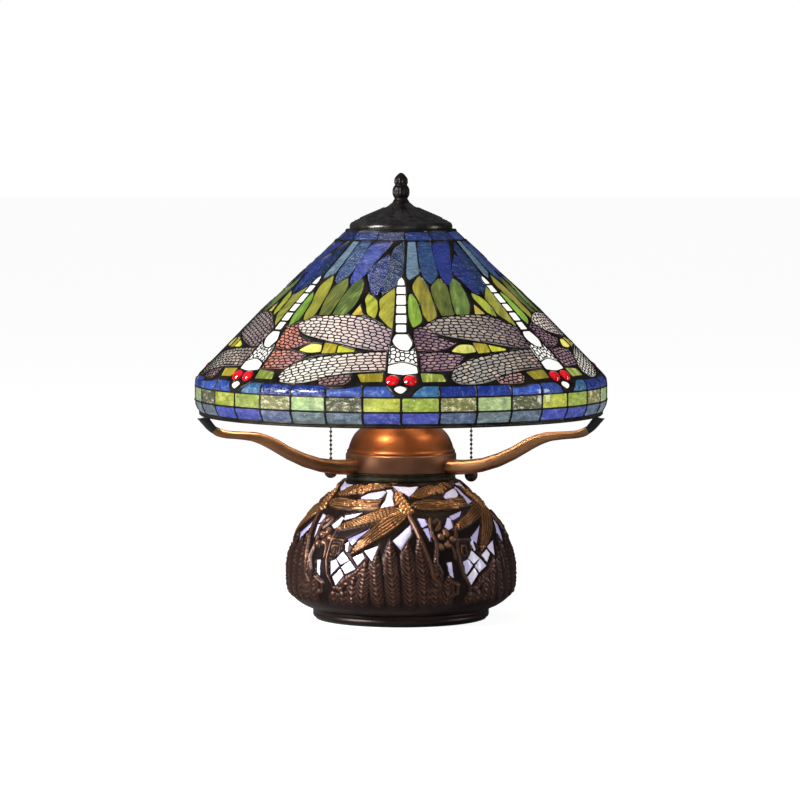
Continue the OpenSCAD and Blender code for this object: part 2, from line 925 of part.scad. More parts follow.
module leaf_blue() {
  color([0.12, 0.22, 0.75, 0.6])
    glass(leaves_blue);
}

module leaf_green() {
  color([0.55, 0.65, 0.15, 0.6])
    glass(leaves_green);
}

module tail_glass() {
  color([0.97, 0.95, 0.92, 0.8])
    glass(tails);
}

module body_glass() {
  color([0.97, 0.95, 0.92, 0.8])
    glass(bodies);
}

module eye_jewels() {
  color([0.8, 0.05, 0.05, 0.7])
    for (k = [0:repeats - 1])
      rotate([0, 0, k * turn])
        for (a = eye_at)
          eye_frame(a)
            intersection() {
              translate([0, 0, -2.7])
                cylinder(r = eye_r, h = 8, $fn = 48);
              translate([0, 0, -5.2])
                sphere(r = 8, $fn = 64);
            }
}

module wing_front() {
  color([0.95, 0.86, 0.82, 0.6])
    glass(wings_left);
}

module wing_behind() {
  color([0.72, 0.62, 0.72, 0.6])
    glass(wings_right);
}

// veins of a front wing, each as start, end and width in degrees and plan radius
veins_upper = [[[-3.5, 158], [-40, 147]], [[-4, 152.5], [-34, 141]], [[-5, 163], [-30, 154]],
  [[-10, 142], [-9, 167]], [[-16, 137], [-15, 165]], [[-22, 137], [-21, 162]],
  [[-28, 137], [-27, 159]], [[-34, 138], [-33, 156]]];
veins_lower = [[[-4, 177], [-36, 192]], [[-4, 172.5], [-33, 182]], [[-4, 181.5], [-28, 194]],
  [[-10, 169], [-9, 186]], [[-16, 170], [-15, 188]], [[-22, 171], [-20, 191]],
  [[-28, 173], [-26, 195]], [[-33, 178], [-31, 197]]];

module vein(line) {
  a = plan(line[0]);
  b = plan(line[1]);
  long = norm(b - a);
  translate([a[0], a[1], 225])
    rotate([0, 0, atan2(b[1] - a[1], b[0] - a[0])])
      translate([0, -0.6, 0])
        cube([long, 1.2, 170]);
}

module wing_filigree() {
  color([0.1, 0.08, 0.07])
    for (k = [0:repeats - 1])
      rotate([0, 0, k * turn])
        for (w = [0, 1])
          intersection() {
            cone_wall(-0.4, glass_sink);
            prism(wings_left[w]);
            union() {
              for (v = w == 0 ? veins_upper : veins_lower)
                vein(v);
            }
          }
}

module gap_glass() {
  color([0.8, 0.8, 0.2, 0.6])
    glass(gaps);
}

module border_top() {
  color([0.12, 0.25, 0.75, 0.6])
    top_tiles(0, 5 * repeats - 1);
}

module border_middle() {
  color([0.75, 0.8, 0.35, 0.6])
    tiles(middle_tile(), 0, 5 * repeats - 1);
}

module border_bottom() {
  color([0.3, 0.32, 0.75, 0.6])
    tiles(bottom_tile(), 0, 5 * repeats - 1);
}

module vase_cap() {
  color(bronze)
    difference() {
      rotate_extrude()
        polygon([[50.5, 382], [50.8, 384.4], [49.2, 388.6], [39.7, 392.7], [30.9, 396.6],
          [21.6, 400.5], [13.2, 404.4], [8.8, 408], [riser_r + 0.6, 408], [riser_r + 0.6, 405.6],
          [8, 405.6], [12.4, 402.8 - cap_t + 1.5], [21, 398.9], [30.3, 395], [39.1, 391.1],
          [47.9, 387.4], [50.8 - cap_t, 384.2], [50.5 - cap_t, 382]]);
      for (a = [0:30:359])
        rotate([0, 0, a + 15])
          translate([35, 0, 385])
            cylinder(r = 2.2, h = 14, $fn = 24);
    }
}

module finial() {
  color(bronze)
    difference() {
      rotate_extrude()
        polygon([[0, 408], [8.4, 408], [7.4, 410], [6.4, 412], [8, 414.4], [8.8, 417], [8.6, 420],
          [7.4, 423], [5.9, 425], [7.2, 427.8], [6.8, 430.4], [6, 432.4], [4, 435.6], [0, 437]]);
      translate([0, 0, 407])
        cylinder(r = riser_r + 0.05, h = 14.6, $fn = 64);
    }
}

felt_pad();
foot_ring();
weight_plate();
foot_screws();
base_shell();
base_mosaic();
cord_bushing();
stem_pipe();
stem_nuts();
neck_ring();
hub_band();
hub_dome();
arm_left();
arm_right();
arm_rear();
arm_tips();
arm_screws();
night_socket();
night_bulb();
wiring();
cluster_body();
cluster_arms();
riser_rod();
riser_nipple();
riser_nuts();
socket_caps();
socket_shells();
socket_liners();
pull_bells();
bulb_screw_left();
bulb_globe_left();
bulb_screw_right();
bulb_globe_right();
pull_pin_left();
pull_pin_right();
chain_left();
knob_left();
chain_right();
knob_right();
crown_ring();
spider();
leading_cone();
leading_skirt();
rim_wire();
crown_glass();
leaf_blue();
leaf_green();
tail_glass();
body_glass();
eye_jewels();
wing_front();
wing_behind();
wing_filigree();
gap_glass();
border_top();
border_middle();
border_bottom();
vase_cap();
finial();
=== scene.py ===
import math
import random

import bmesh
import bpy
import numpy as np
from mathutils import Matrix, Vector
from mathutils.geometry import delaunay_2d_cdt


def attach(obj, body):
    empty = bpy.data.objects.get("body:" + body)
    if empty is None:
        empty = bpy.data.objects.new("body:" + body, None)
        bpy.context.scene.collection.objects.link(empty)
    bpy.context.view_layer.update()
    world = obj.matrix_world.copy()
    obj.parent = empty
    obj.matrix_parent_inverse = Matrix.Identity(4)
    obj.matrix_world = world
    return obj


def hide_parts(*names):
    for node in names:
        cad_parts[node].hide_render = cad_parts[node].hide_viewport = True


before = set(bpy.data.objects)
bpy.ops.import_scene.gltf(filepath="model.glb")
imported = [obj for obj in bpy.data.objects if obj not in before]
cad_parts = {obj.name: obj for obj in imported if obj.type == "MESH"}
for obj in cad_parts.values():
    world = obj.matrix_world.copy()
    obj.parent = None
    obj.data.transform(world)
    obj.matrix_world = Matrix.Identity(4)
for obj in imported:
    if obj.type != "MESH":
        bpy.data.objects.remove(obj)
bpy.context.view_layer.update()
mm = 0.001

# --- Camera -------------------------------------------------------------------------------
# A long lens a little above the rim of the shade, tipped down on the middle of the lamp.
camera_data = bpy.data.cameras.new("camera")
camera_data.lens = 166.5
camera_data.sensor_width = 36
camera = bpy.data.objects.new("camera", camera_data)
camera.location = (-0.001, -3.626, 0.46256)
camera.rotation_euler = (math.radians(90 - 3.92), 0, 0)
bpy.context.scene.collection.objects.link(camera)
bpy.context.scene.camera = camera


# --- Foot ---------------------------------------------------------------------------------
# Turned bronze ring glued over a felt disc, with an iron weight plate held down inside the
# urn by the stem nut and three screws from below.
class Signal:
    """A socket of a material's nodes, so that shader maths reads as sums and products."""

    def __init__(self, finish, socket):
        self.finish = finish
        self.socket = socket

    def maths(self, operation, *values):
        return self.finish.add("ShaderNodeMath", {"operation": operation}, values)

    def __add__(self, other):
        return self.maths("ADD", self, other)

    def __rsub__(self, other):
        return self.maths("SUBTRACT", other, self)

    def __mul__(self, other):
        return self.maths("MULTIPLY", self, other)

    __radd__ = __add__
    __rmul__ = __mul__


class Finish:
    """A material: one Principled shader and the nodes that feed it."""

    def __init__(self, name, constants=()):
        self.material = bpy.data.materials.new(name)
        self.material.use_nodes = True
        self.tree = self.material.node_tree
        self.shader = self.tree.nodes["Principled BSDF"]
        self.feed(constants)

    def plug(self, socket, value):
        if isinstance(value, Signal):
            self.tree.links.new(value.socket, socket)
        else:
            socket.default_value = value

    def feed(self, values):
        for name, value in dict(values).items():
            self.plug(self.shader.inputs[name], value)

    def add(self, kind, settings=(), values=(), output=0):
        made = self.tree.nodes.new(kind)
        for name, value in dict(settings).items():
            if name == "stops":
                for element, (place, colour) in zip(made.color_ramp.elements, value):
                    element.position = place
                    element.color = colour
                for place, colour in value[2:]:
                    made.color_ramp.elements.new(place).color = colour
            else:
                setattr(made, name, value)
        pairs = values.items() if isinstance(values, dict) else enumerate(values)
        for name, value in pairs:
            self.plug(made.inputs[name], value)
        return Signal(self, made.outputs[output])

    def place(self):
        return self.add("ShaderNodeTexCoord", output="Object")

    def attribute(self, name, output="Color"):
        return self.add("ShaderNodeAttribute", {"attribute_name": name}, output=output)

    def noise(self, where, scale, detail=3.0, rough=0.5):
        values = {"Vector": where, "Scale": scale, "Detail": detail, "Roughness": rough}
        return self.add("ShaderNodeTexNoise", {}, values)

    def mix(self, mask, first, second, blend="MIX"):
        settings = {"data_type": "RGBA", "blend_type": blend}
        return self.add("ShaderNodeMix", settings, {0: mask, 6: first, 7: second}, 2)

    def steps(self, value, low, high):
        settings = {"clamp": True}
        values = {"Value": value, "From Min": low, "From Max": high}
        return self.add("ShaderNodeMapRange", settings, values)

    def bump(self, height, distance, strength=1.0):
        values = {"Strength": strength, "Distance": distance, "Height": height}
        self.feed({"Normal": self.add("ShaderNodeBump", {}, values)})


def tone(red, green, blue):
    """A display colour, each part 0 to 255, as the linear colour a shader takes."""
    parts = []
    for part in (red, green, blue):
        part = part / 255
        parts.append(part / 12.92 if part < 0.04045 else ((part + 0.055) / 1.055) ** 2.4)
    return (*parts, 1.0)


def metal(name, dark, bright, roughness, cloud_scale=50, grain=0.00004, metallic=1.0):
    """A metal whose colour and polish drift over the piece, with a fine cast grain."""
    finish = Finish(name, {"Metallic": metallic})
    place = finish.place()
    cloud = finish.steps(finish.noise(place, cloud_scale, 5.0), 0.3, 0.7)
    grit = finish.noise(place, 900.0, 2.0)
    finish.feed({"Base Color": finish.mix(cloud, dark, bright),
                 "Roughness": cloud * 0.12 + (roughness + grit * 0.1)})
    finish.bump(grit, grain)
    return finish


def dress(finish, *names):
    """Gives CAD pieces that stay as they are their own finish."""
    for name in names:
        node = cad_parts[name]
        node.data.materials.clear()
        node.data.materials.append(finish.material)


def turned(outer, inner=(), columns=160, lift=None):
    """Points and faces of a line of radius and height taken round the axis: down the outside,
    then back up the inside. lift moves the outer points out along their normals."""
    line = np.array(list(outer) + list(inner), float)
    count = len(line)
    angles = np.arange(columns) * 2 * math.pi / columns
    radius = np.repeat(line[:, :1], columns, axis=1)
    height = np.repeat(line[:, 1:], columns, axis=1)
    if lift is not None:
        run = np.gradient(np.array(outer, float), axis=0)
        run /= np.linalg.norm(run, axis=1)[:, None]
        radius[:len(outer)] -= run[:, 1:] * lift
        height[:len(outer)] += run[:, :1] * lift
    points = np.stack([radius * np.sin(angles), -radius * np.cos(angles), height], axis=2)
    closed = line[0][0] > 0 and line[-1][0] > 0
    faces = []
    for row in range(count if closed else count - 1):
        below = (row + 1) % count
        for column in range(columns):
            beside = (column + 1) % columns
            faces.append((row * columns + column, below * columns + column,
                          below * columns + beside, row * columns + beside))
    return points.reshape(-1, 3), faces


def make_piece(name, shape, finish, body, slot, stands_for=(), crease=40, **attributes):
    """A finished mesh object from points in millimetres and faces, riding on its body."""
    points, faces = shape
    mesh = bpy.data.meshes.new(name)
    mesh.from_pydata((np.asarray(points) * mm).tolist(), [], faces)
    for label, (kind, values) in attributes.items():
        field = mesh.attributes.new(label, kind, "POINT")
        channel = "color" if kind == "FLOAT_COLOR" else "vector"
        field.data.foreach_set(channel, np.asarray(values, np.float32).ravel())
    work = bmesh.new()
    work.from_mesh(mesh)
    bmesh.ops.remove_doubles(work, verts=work.verts, dist=1e-6)
    bmesh.ops.recalc_face_normals(work, faces=work.faces)
    work.to_mesh(mesh)
    work.free()
    mesh.shade_smooth()
    mesh.set_sharp_from_angle(angle=math.radians(crease))
    mesh.materials.append(finish.material)
    piece = bpy.data.objects.new(name, mesh)
    bpy.context.scene.collection.objects.link(piece)
    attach(piece, body)
    if stands_for:
        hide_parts(*stands_for)
    return piece


felt = Finish("felt", {"Roughness": 0.95})
nap = felt.noise(felt.place(), 1400.0, 4.0)
felt.feed({"Base Color": felt.mix(nap, tone(20, 38, 26), tone(52, 78, 56))})
felt.bump(nap, 0.0003)
iron = metal("iron", tone(40, 40, 42), tone(78, 76, 74), 0.55, grain=0.0001)
steel = metal("plated_steel", tone(150, 150, 148), tone(190, 190, 188), 0.3)
foot_bronze = metal("foot_bronze", tone(30, 20, 19), tone(52, 36, 33), 0.28, 30, metallic=0.55)
dress(felt, "felt_pad")
dress(iron, "weight_plate")
dress(steel, "foot_screws", "arm_screws", "stem_pipe")

foot_line = [(72, 10.5), (85.9, 10.5), (86.6, 10.2), (86.7, 9.4), (86.7, 7.4), (86.3, 6.8),
             (86.3, 6.3), (86.7, 5.8), (86.7, 3.6), (86.1, 2.2), (85, 1.5), (72, 1.5)]
make_piece("foot_ring_turned", turned(foot_line), foot_bronze, "base", "bronze",
           ["foot_ring"])

# --- Urn ----------------------------------------------------------------------------------
# Hollow cast urn, patinated dark and rubbed back to copper on the high places. Its relief
# repeats five times: a dragonfly, ferns, a stem with berries, and a lattice of mosaic.
urn_points = [(54, 137), (59, 133), (67.6, 125), (76.5, 117), (84.3, 109.5), (91, 102),
              (97, 94), (102, 86), (105, 78), (108.3, 70), (110.3, 62), (111.7, 54),
              (112, 44), (111.7, 34), (110, 27), (107, 22.5), (103, 18.5), (97, 14.5),
              (88, 10.5)]
urn_rows = 142
urn_folds = 5
fold_angle = 360 / urn_folds
fold_columns = 120
urn_wall = 3.3
bare_relief = -0.3
opening_relief = -2.4
frame_width = 1.9
frame_relief = 0.15
line_points = 800


def even_line(points, count, softness):
    """The line through points, smoothed a little and stepped evenly along its length."""
    points = np.array(points, float)
    steps = np.hypot(*np.diff(points, axis=0).T)
    run = np.concatenate([[0], np.cumsum(steps)])
    fine = np.linspace(0, run[-1], line_points)
    dense = np.stack([np.interp(fine, run, points[:, k]) for k in (0, 1)], axis=1)
    reach = int(softness / (run[-1] / line_points))
    weights = np.hanning(2 * reach + 3)[1:-1]
    weights /= weights.sum()
    ends = [2 * dense[0] - dense[reach + 1:0:-1], dense, 2 * dense[-1] - dense[-2:-reach - 3:-1]]
    padded = np.concatenate(ends)
    smooth = np.stack([np.convolve(padded[:, k], weights, "same") for k in (0, 1)], axis=1)
    smooth = smooth[reach + 1:reach + 1 + line_points]
    steps = np.hypot(*np.diff(smooth, axis=0).T)
    run = np.concatenate([[0], np.cumsum(steps)])
    even = np.linspace(0, run[-1], count)
    return even, np.stack([np.interp(even, run, smooth[:, k]) for k in (0, 1)], axis=1)


urn_run, urn_line = even_line(urn_points, urn_rows, 4.0)
fold_degrees = np.arange(fold_columns) * fold_angle / fold_columns
urn_deg, urn_down = np.meshgrid(fold_degrees, urn_run)
urn_radius = np.repeat(urn_line[:, :1], fold_columns, axis=1)


def urn_radius_at(down):
    return np.interp(down, urn_run, urn_line[:, 0])


def nearest(path):
    """Distance along a path of [degrees, mm down the urn], and signed distance off it."""
    best = np.full(urn_deg.shape, 1e9)
    along = np.zeros(urn_deg.shape)
    aside = np.zeros(urn_deg.shape)
    start = 0.0
    for (deg_a, down_a), (deg_b, down_b) in zip(path, path[1:]):
        middle = (deg_a + deg_b) / 2
        turned_deg = (urn_deg - middle + fold_angle / 2) % fold_angle - fold_angle / 2
        x = np.radians(turned_deg) * urn_radius
        y = urn_down
        ax = math.radians(deg_a - middle) * urn_radius_at(down_a)
        bx = math.radians(deg_b - middle) * urn_radius_at(down_b)
        span = math.hypot(bx - ax, down_b - down_a)
        ux = (bx - ax) / span
        uy = (down_b - down_a) / span
        t = np.clip((x - ax) * ux + (y - down_a) * uy, 0, span)
        off = (x - ax) * uy - (y - down_a) * ux
        away = np.hypot(x - ax - t * ux, y - down_a - t * uy)
        closer = away < best
        best = np.where(closer, away, best)
        along = np.where(closer, start + t, along)
        aside = np.where(closer, np.copysign(away, off), aside)
        start += span
    return along, aside, start


relief = np.full(urn_deg.shape, bare_relief)
gold = np.zeros(urn_deg.shape)
shine = np.zeros(urn_deg.shape)


def raise_relief(height, where, golden, bright):
    """Adds a raised shape, its share of gold patina and how far its top is rubbed bright."""
    global relief, gold, shine
    above = where & (height > relief)
    relief = np.where(above, height, relief)
    gold = np.where(above, golden, gold)
    shine = np.where(above, bright, shine)


def cord_shape(path, width, height, golden, shine_top=0.42):
    along, aside, length = nearest(path)
    across = np.abs(aside) / width
    dome = np.sqrt(np.clip(1 - across ** 2, 0, 1))
    raise_relief(height * dome - 0.2, across < 1, golden, shine_top * dome)


def wing_shape(root, tip, width, bow, ridges=6):
    """A dragonfly wing: a long leaf with ridges that fan out from its root."""
    middle = ((root[0] + tip[0]) / 2, (root[1] + tip[1]) / 2 + bow)
    along, aside, length = nearest([root, middle, tip])
    part = along / length
    half = width * (0.25 + 0.75 * np.clip(np.sin(math.pi * np.clip(part, 0, 1) ** 0.62), 0, 1))
    half = half * np.clip((1.02 - part) * 6, 0, 1) ** 0.5 + 0.01
    across = aside / half
    ridge = 0.5 + 0.5 * np.cos(across * math.pi * ridges)
    edge = np.clip((1 - np.abs(across)) * 4, 0, 1)
    height = (0.3 + 1.5 * ridge) * edge ** 0.6
    raise_relief(height, np.abs(across) < 1, 1.0, (0.04 + 0.96 * ridge ** 3) * edge)


def fern_shape(path, width, pitch=4.3):
    """A fern frond: barbs swept up either side of a raised spine."""
    along, aside, length = nearest(path)
    part = along / length
    half = width * np.clip(part * 3.4 + 0.12, 0, 1) * np.clip((1 - part) * 3 + 0.5, 0, 1)
    across = np.abs(aside) / half
    sway = 0.9 * np.sin(0.23 * along + path[0][0]) + 0.5 * np.sin(0.61 * along + path[0][0])
    swept = along + sway + 0.35 * np.abs(aside) + 0.12 * aside ** 2
    barb = 0.5 + 0.5 * np.cos(swept * 2 * math.pi / pitch)
    spine = np.exp(-(aside / 0.8) ** 2)
    edge = np.clip((1 - across) * 3, 0, 1)
    height = 0.15 + 0.5 * (1 - across) + 1.1 * barb * edge + 0.6 * spine - 1.1 * (across > 0.97)
    above = (across < 1) & (height + 0.75 * (1 - across) > relief + 0.35)
    raise_relief(np.where(above, np.maximum(height, relief + 0.001), height), above, 0.12,
                 (0.04 + 0.7 * barb ** 3) * edge + 0.3 * spine)


# ferns first, so that the dragonfly lies over them
ferns = [
    ([(-30, 121), (-30.5, 130), (-30.6, 141)], 7.0),
    ([(24, 106), (23.4, 124), (22.6, 141)], 7.4),
    ([(-36, 121), (-35.6, 128), (-35.6, 141)], 7.0),
    ([(17.6, 88), (17.6, 110), (17, 141)], 7.0),
    ([(-24, 110), (-25, 124), (-25.4, 140)], 7.2),
    ([(-16.6, 90), (-22, 101), (-28, 110), (-35, 118)], 6.6),
    ([(-17.6, 92), (-18.6, 108), (-19.6, 122), (-20, 140)], 7.4),
    ([(9.4, 70), (10.6, 90), (11.4, 114), (11.6, 140)], 7.4),
    ([(-12.4, 80), (-13, 96), (-12.4, 112), (-11, 138)], 7.4),
    ([(2.8, 68), (3.6, 90), (4.4, 112), (4.6, 140)], 7.8),
    ([(-5.8, 70), (-5.2, 90), (-4.2, 110), (-3.4, 140)], 8.0)]
for spine, width in ferns:
    fern_shape(spine, width)

# cords, each with its half width, height and share of gold: the stem by the lattice, its
# fork, the second stem, the curl over them, two bars, the square scroll, then the berries
cords = [
    ([(33, 58), (31.4, 74), (31, 92), (32.6, 106), (36.4, 116), (40.4, 121)], 1.9, 1.7, 0.2),
    ([(40.4, 121), (43, 115), (47, 108), (53, 101)], 1.3, 1.2, 0.3),
    ([(18.6, 47), (17.4, 60), (19.6, 74), (18, 88), (17.6, 104)], 1.8, 1.5, 0.2),
    ([(24, 121), (22.6, 115), (25.6, 111.4), (29.4, 115), (29, 123), (25, 125)],
     1.5, 1.6, 0.35),
    ([(13.2, 119), (19.4, 118.6)], 2.2, 1.3, 0.3),
    ([(13.6, 125), (19.8, 124.4)], 1.6, 1.2, 0.3),
    ([(31.6, 71), (39.6, 71.6), (39.2, 87.4), (33, 87), (33.2, 77.4), (36.6, 77.6),
      (36.4, 83)], 1.15, 1.3, 0.35)]
for path, half_width, height, golden in cords:
    cord_shape(path, half_width, height, golden)
for berry in [(22.4, 67), (26, 64.4), (21.4, 77), (25.4, 75.4), (-46, 62), (-43, 70)]:
    cord_shape([berry, (berry[0] + 0.2, berry[1] + 0.4)], 3.2, 2.4, 0.3, 0.9)
cord_shape([(20, 52), (22.6, 48), (24.6, 51), (23, 56), (20.6, 60)], 1.7, 1.5, 0.2)
cord_shape([(26, 72), (28.6, 80), (29, 90)], 1.6, 1.2, 0.3)

# the dragonfly: its wings from root to tip, with their half widths and how far they bow
wings = [((-7.5, 5), (-49, 16), 7.2, -3), ((8, 19), (50, 14), 7.2, -7),
         ((-3, 28), (-50, 30), 8.4, 0), ((9, 30), (50, 33), 8.2, -1),
         ((2, 35), (-41, 61), 7.4, -2), ((3, 40), (-27, 85), 9.4, -3)]
for root, tip, width, bow in wings:
    wing_shape(root, tip, width, bow)
# then its tail, its body, and the scales in three rows along the body
cord_shape([(4.6, 40), (8.8, 58), (11.6, 74), (14.4, 90), (16.4, 106), (19, 114)],
           2.0, 1.9, 0.35)
cord_shape([(-7.5, 3), (-5, 13), (1.5, 26), (5.4, 38)], 4.4, 1.6, 1.0, 0.5)
for step in range(9):
    deg = -6.6 + 1.45 * step
    down = 6 + 4.0 * step
    for side in (-1, 0, 1):
        spot = (deg + side * 2.6, down - side * 1.1 + 1.6 * (side == 0))
        cord_shape([spot, (spot[0] + 0.1, spot[1] + 0.2)], 1.9, 3.0, 1.0, 1.0)

# openings for mosaic, each an outline of [degrees, mm down the urn], and how bright it lies
lattice = [
    [(-35, 90), (-32, 82.5), (-27.5, 91), (-32, 95.5)],
    [(-38.5, 93), (-35.5, 91), (-33, 97), (-37.5, 106)],
    [(-31.5, 98), (-27, 91.5), (-23.5, 99), (-29, 104.5)],
    [(-36.5, 108), (-32, 100), (-30, 106), (-34.5, 116)],
    [(-25.5, 88), (-20.5, 83), (-19, 88), (-22.5, 95.5)],
    [(-19.5, 81), (-12.3, 75.5), (-15, 91)]]
openings = [
    [(-4.5, 70), (5.5, 53), (6, 62), (0, 79.5)],
    [(10.5, 45), (15, 46), (16, 53), (12.5, 56)],
    [(13, 57.5), (16, 56.5), (16.5, 66), (16, 71)],
    [(28, 53), (31, 45.5), (33, 47), (32, 57), (29, 59.5), (26.5, 56)],
    [(-39, 44), (-27, 39), (-31, 45), (-38, 49)],
    [(-34.5, 19), (-29, 14), (-16, 10), (-13.5, 11), (-16, 18), (-20, 21), (-34, 21.5)],
    [(-14, 9), (-9, 8), (-7, 13), (-7, 20), (-5, 29), (-15, 32), (-12.5, 22), (-12, 12)],
    [(-9, 3), (8, 5), (17, 4), (12, 11), (7, 17), (3, 13), (-2, 11)],
    [(24, 93), (26.5, 92.5), (27, 108), (25, 105)],
    [(-31.5, 75), (-29.5, 72), (-29, 82), (-30, 83)]]
dull_openings = [[(-30.5, 70), (-18.5, 58), (-24, 68), (-27, 76)]]


def urn_reach(outline):
    """Distance of each point of the urn from an outline, negative inside it."""
    middle = sum(p[0] for p in outline) / len(outline)
    turned_deg = (urn_deg - middle + fold_angle / 2) % fold_angle - fold_angle / 2
    x = np.radians(turned_deg) * urn_radius
    corners = [(math.radians(d - middle) * urn_radius_at(s), s) for d, s in outline]
    return signed_reach(x, urn_down, corners)


def signed_reach(x, y, corners):
    best = np.full(x.shape, 1e9)
    inside = np.zeros(x.shape, bool)
    for (ax, ay), (bx, by) in zip(corners, corners[1:] + corners[:1]):
        ux = bx - ax
        uy = by - ay
        t = np.clip(((x - ax) * ux + (y - ay) * uy) / (ux * ux + uy * uy + 1e-9), 0, 1)
        best = np.minimum(best, np.hypot(x - ax - t * ux, y - ay - t * uy))
        crosses = (ay > y) != (by > y)
        with np.errstate(divide="ignore", invalid="ignore"):
            inside ^= crosses & (x < (bx - ax) * (y - ay) / (by - ay) + ax)
    return np.where(inside, -best, best)


rim = np.full(urn_deg.shape, 1e9)
for outline in lattice + openings + dull_openings:
    rim = np.minimum(rim, urn_reach(outline))
frame_edge = rim < frame_width
relief = np.where(frame_edge, np.minimum(relief, frame_relief), relief)
relief = np.where(rim < 0.4, opening_relief, relief)
gold = np.where(frame_edge, 0.0, gold)
shine = np.where(frame_edge, 0.05, shine)
# the plain band at the foot and the plain lip under the neck
band = np.clip((urn_down - 131) / 8, 0, 1)
lip = np.clip((3.0 - urn_down) / 2, 0, 1)
relief = relief * (1 - band) * (1 - lip) + 0.15 * band + 0.2 * lip
shine = shine * (1 - band)
# the rubbed colour on the relief is full on the shoulder and a quarter weaker lower down; the foot
# band is dark brown
shoulder = np.clip((78 - urn_down) / 60, 0, 1)
ground = np.array(tone(36, 24, 22)[:3])
fern_bronze = np.array(tone(150, 116, 108)[:3])
foot_brown = np.array(tone(62, 42, 42)[:3])
wing_gold = np.array(tone(244, 186, 120)[:3])
rubbed = fern_bronze + (wing_gold - fern_bronze) * gold[..., None]
mask = (shine * (0.75 + 0.25 * shoulder))[..., None]
patina = ground * (1 - mask) + rubbed * mask
patina = patina * (1 - band[..., None]) + foot_brown * band[..., None]
patina = np.concatenate([patina, shine[..., None]], axis=2)

inner_line = [(r - urn_wall, h) for r, h in urn_line[::-6]]
inner_line[0] = (80.8, 10.5)
inner_line.insert(1, (80.8, 14.0))
inner_line[2] = (inner_line[2][0], max(inner_line[2][1], 14.0))
inner_line[-1] = (40, 133.7)
inner_line += [(40, 137)]
columns = fold_columns * urn_folds
urn_shape = turned(urn_line, inner_line, columns, np.tile(relief, (1, urn_folds)))
urn_tint = np.tile(patina, (1, urn_folds, 1)).reshape(-1, 4)
inside_brown = [0.03, 0.02, 0.018, 0]
inside_tint = np.tile(np.array(inside_brown), (len(inner_line) * columns, 1))

cast = Finish("cast_bronze", {"Metallic": 0.72})
cast_tint = cast.attribute("tint")
cast_rub = cast.attribute("tint", "Alpha")
cast_place = cast.place()
cast_cloud = cast.steps(cast.noise(cast_place, 55.0, 5.0), 0.3, 0.7)
cast_grit = cast.noise(cast_place, 700.0, 3.0)
cast_shade = cast.mix(cast_cloud * 0.5, tone(235, 225, 225), tone(150, 105, 96))
cast.feed({"Base Color": cast.mix(1.0, cast_tint, cast_shade, "MULTIPLY"),
           "Roughness": 0.34 - cast_rub * 0.06 + cast_grit * 0.1})
cast.bump(cast_grit, 0.00012)
make_piece("urn_casting", urn_shape, cast, "base", "bronze", ["base_shell"], 60,
           tint=("FLOAT_COLOR", np.concatenate([urn_tint, inside_tint])))

# --- Mosaic in the urn --------------------------------------------------------------------
# Opalescent white and lavender glass leaded into the openings, lit by the night lamp inside.
mosaic_thickness = 2.0
mosaic_grid = 3.0


def anticlockwise(outline):
    area = sum(a[0] * b[1] - b[0] * a[1] for a, b in zip(outline, outline[1:] + outline[:1]))
    return outline if area > 0 else outline[::-1]


def triangles(outline, inner_points):
    """A filled outline with extra points inside it: all the points, and triangles."""
    ring = list(range(len(outline)))
    corners = [Vector(p) for p in anticlockwise(outline)] + [Vector(p) for p in inner_points]
    made = delaunay_2d_cdt(corners, [], [ring], 1, 1e-4)
    return np.array([tuple(v) for v in made[0]]), [tuple(f) for f in made[2]]


def slab(surface_points, back_points, faces):
    """A closed solid between a triangulated face and its copy behind."""
    count = len(surface_points)
    edges = {}
    for face in faces:
        for a, b in zip(face, face[1:] + face[:1]):
            edges[(a, b)] = edges.get((a, b), 0) + 1
    sides = [(a, b, b + count, a + count) for a, b in edges if (b, a) not in edges]
    backs = [tuple(i + count for i in reversed(face)) for face in faces]
    return np.concatenate([surface_points, back_points]), list(faces) + backs + sides


class Batch:
    """Several solids gathered into one mesh, with their attributes."""

    def __init__(self):
        self.points = []
        self.faces = []
        self.tint = []
        self.flow = []
        self.count = 0

    def take(self, points, faces, tint, flow):
        self.points.append(points)
        self.faces += [tuple(i + self.count for i in face) for face in faces]
        self.tint.append(np.broadcast_to(np.array(tint, float), (len(points), 4)))
        self.flow.append(flow)
        self.count += len(points)

    def make(self, name, finish, body, slot, stands_for, crease=50):
        return make_piece(name, (np.concatenate(self.points), self.faces), finish, body, slot,
                          stands_for, crease,
                          tint=("FLOAT_COLOR", np.concatenate(self.tint)),
                          flow=("FLOAT_VECTOR", np.concatenate(self.flow)))


def urn_surface(deg, down, depth):
    radius = np.interp(down, urn_run, urn_line[:, 0])
    height = np.interp(down, urn_run, urn_line[:, 1])
    run = np.gradient(urn_line, axis=0)
    run /= np.linalg.norm(run, axis=1)[:, None]
    out = np.stack([np.interp(down, urn_run, -run[:, 1]), np.interp(down, urn_run, run[:, 0])])
    radius = radius - out[0] * depth
    height = height - out[1] * depth
    angle = np.radians(deg)
    return np.stack([radius * np.sin(angle), -radius * np.cos(angle), height], axis=1)


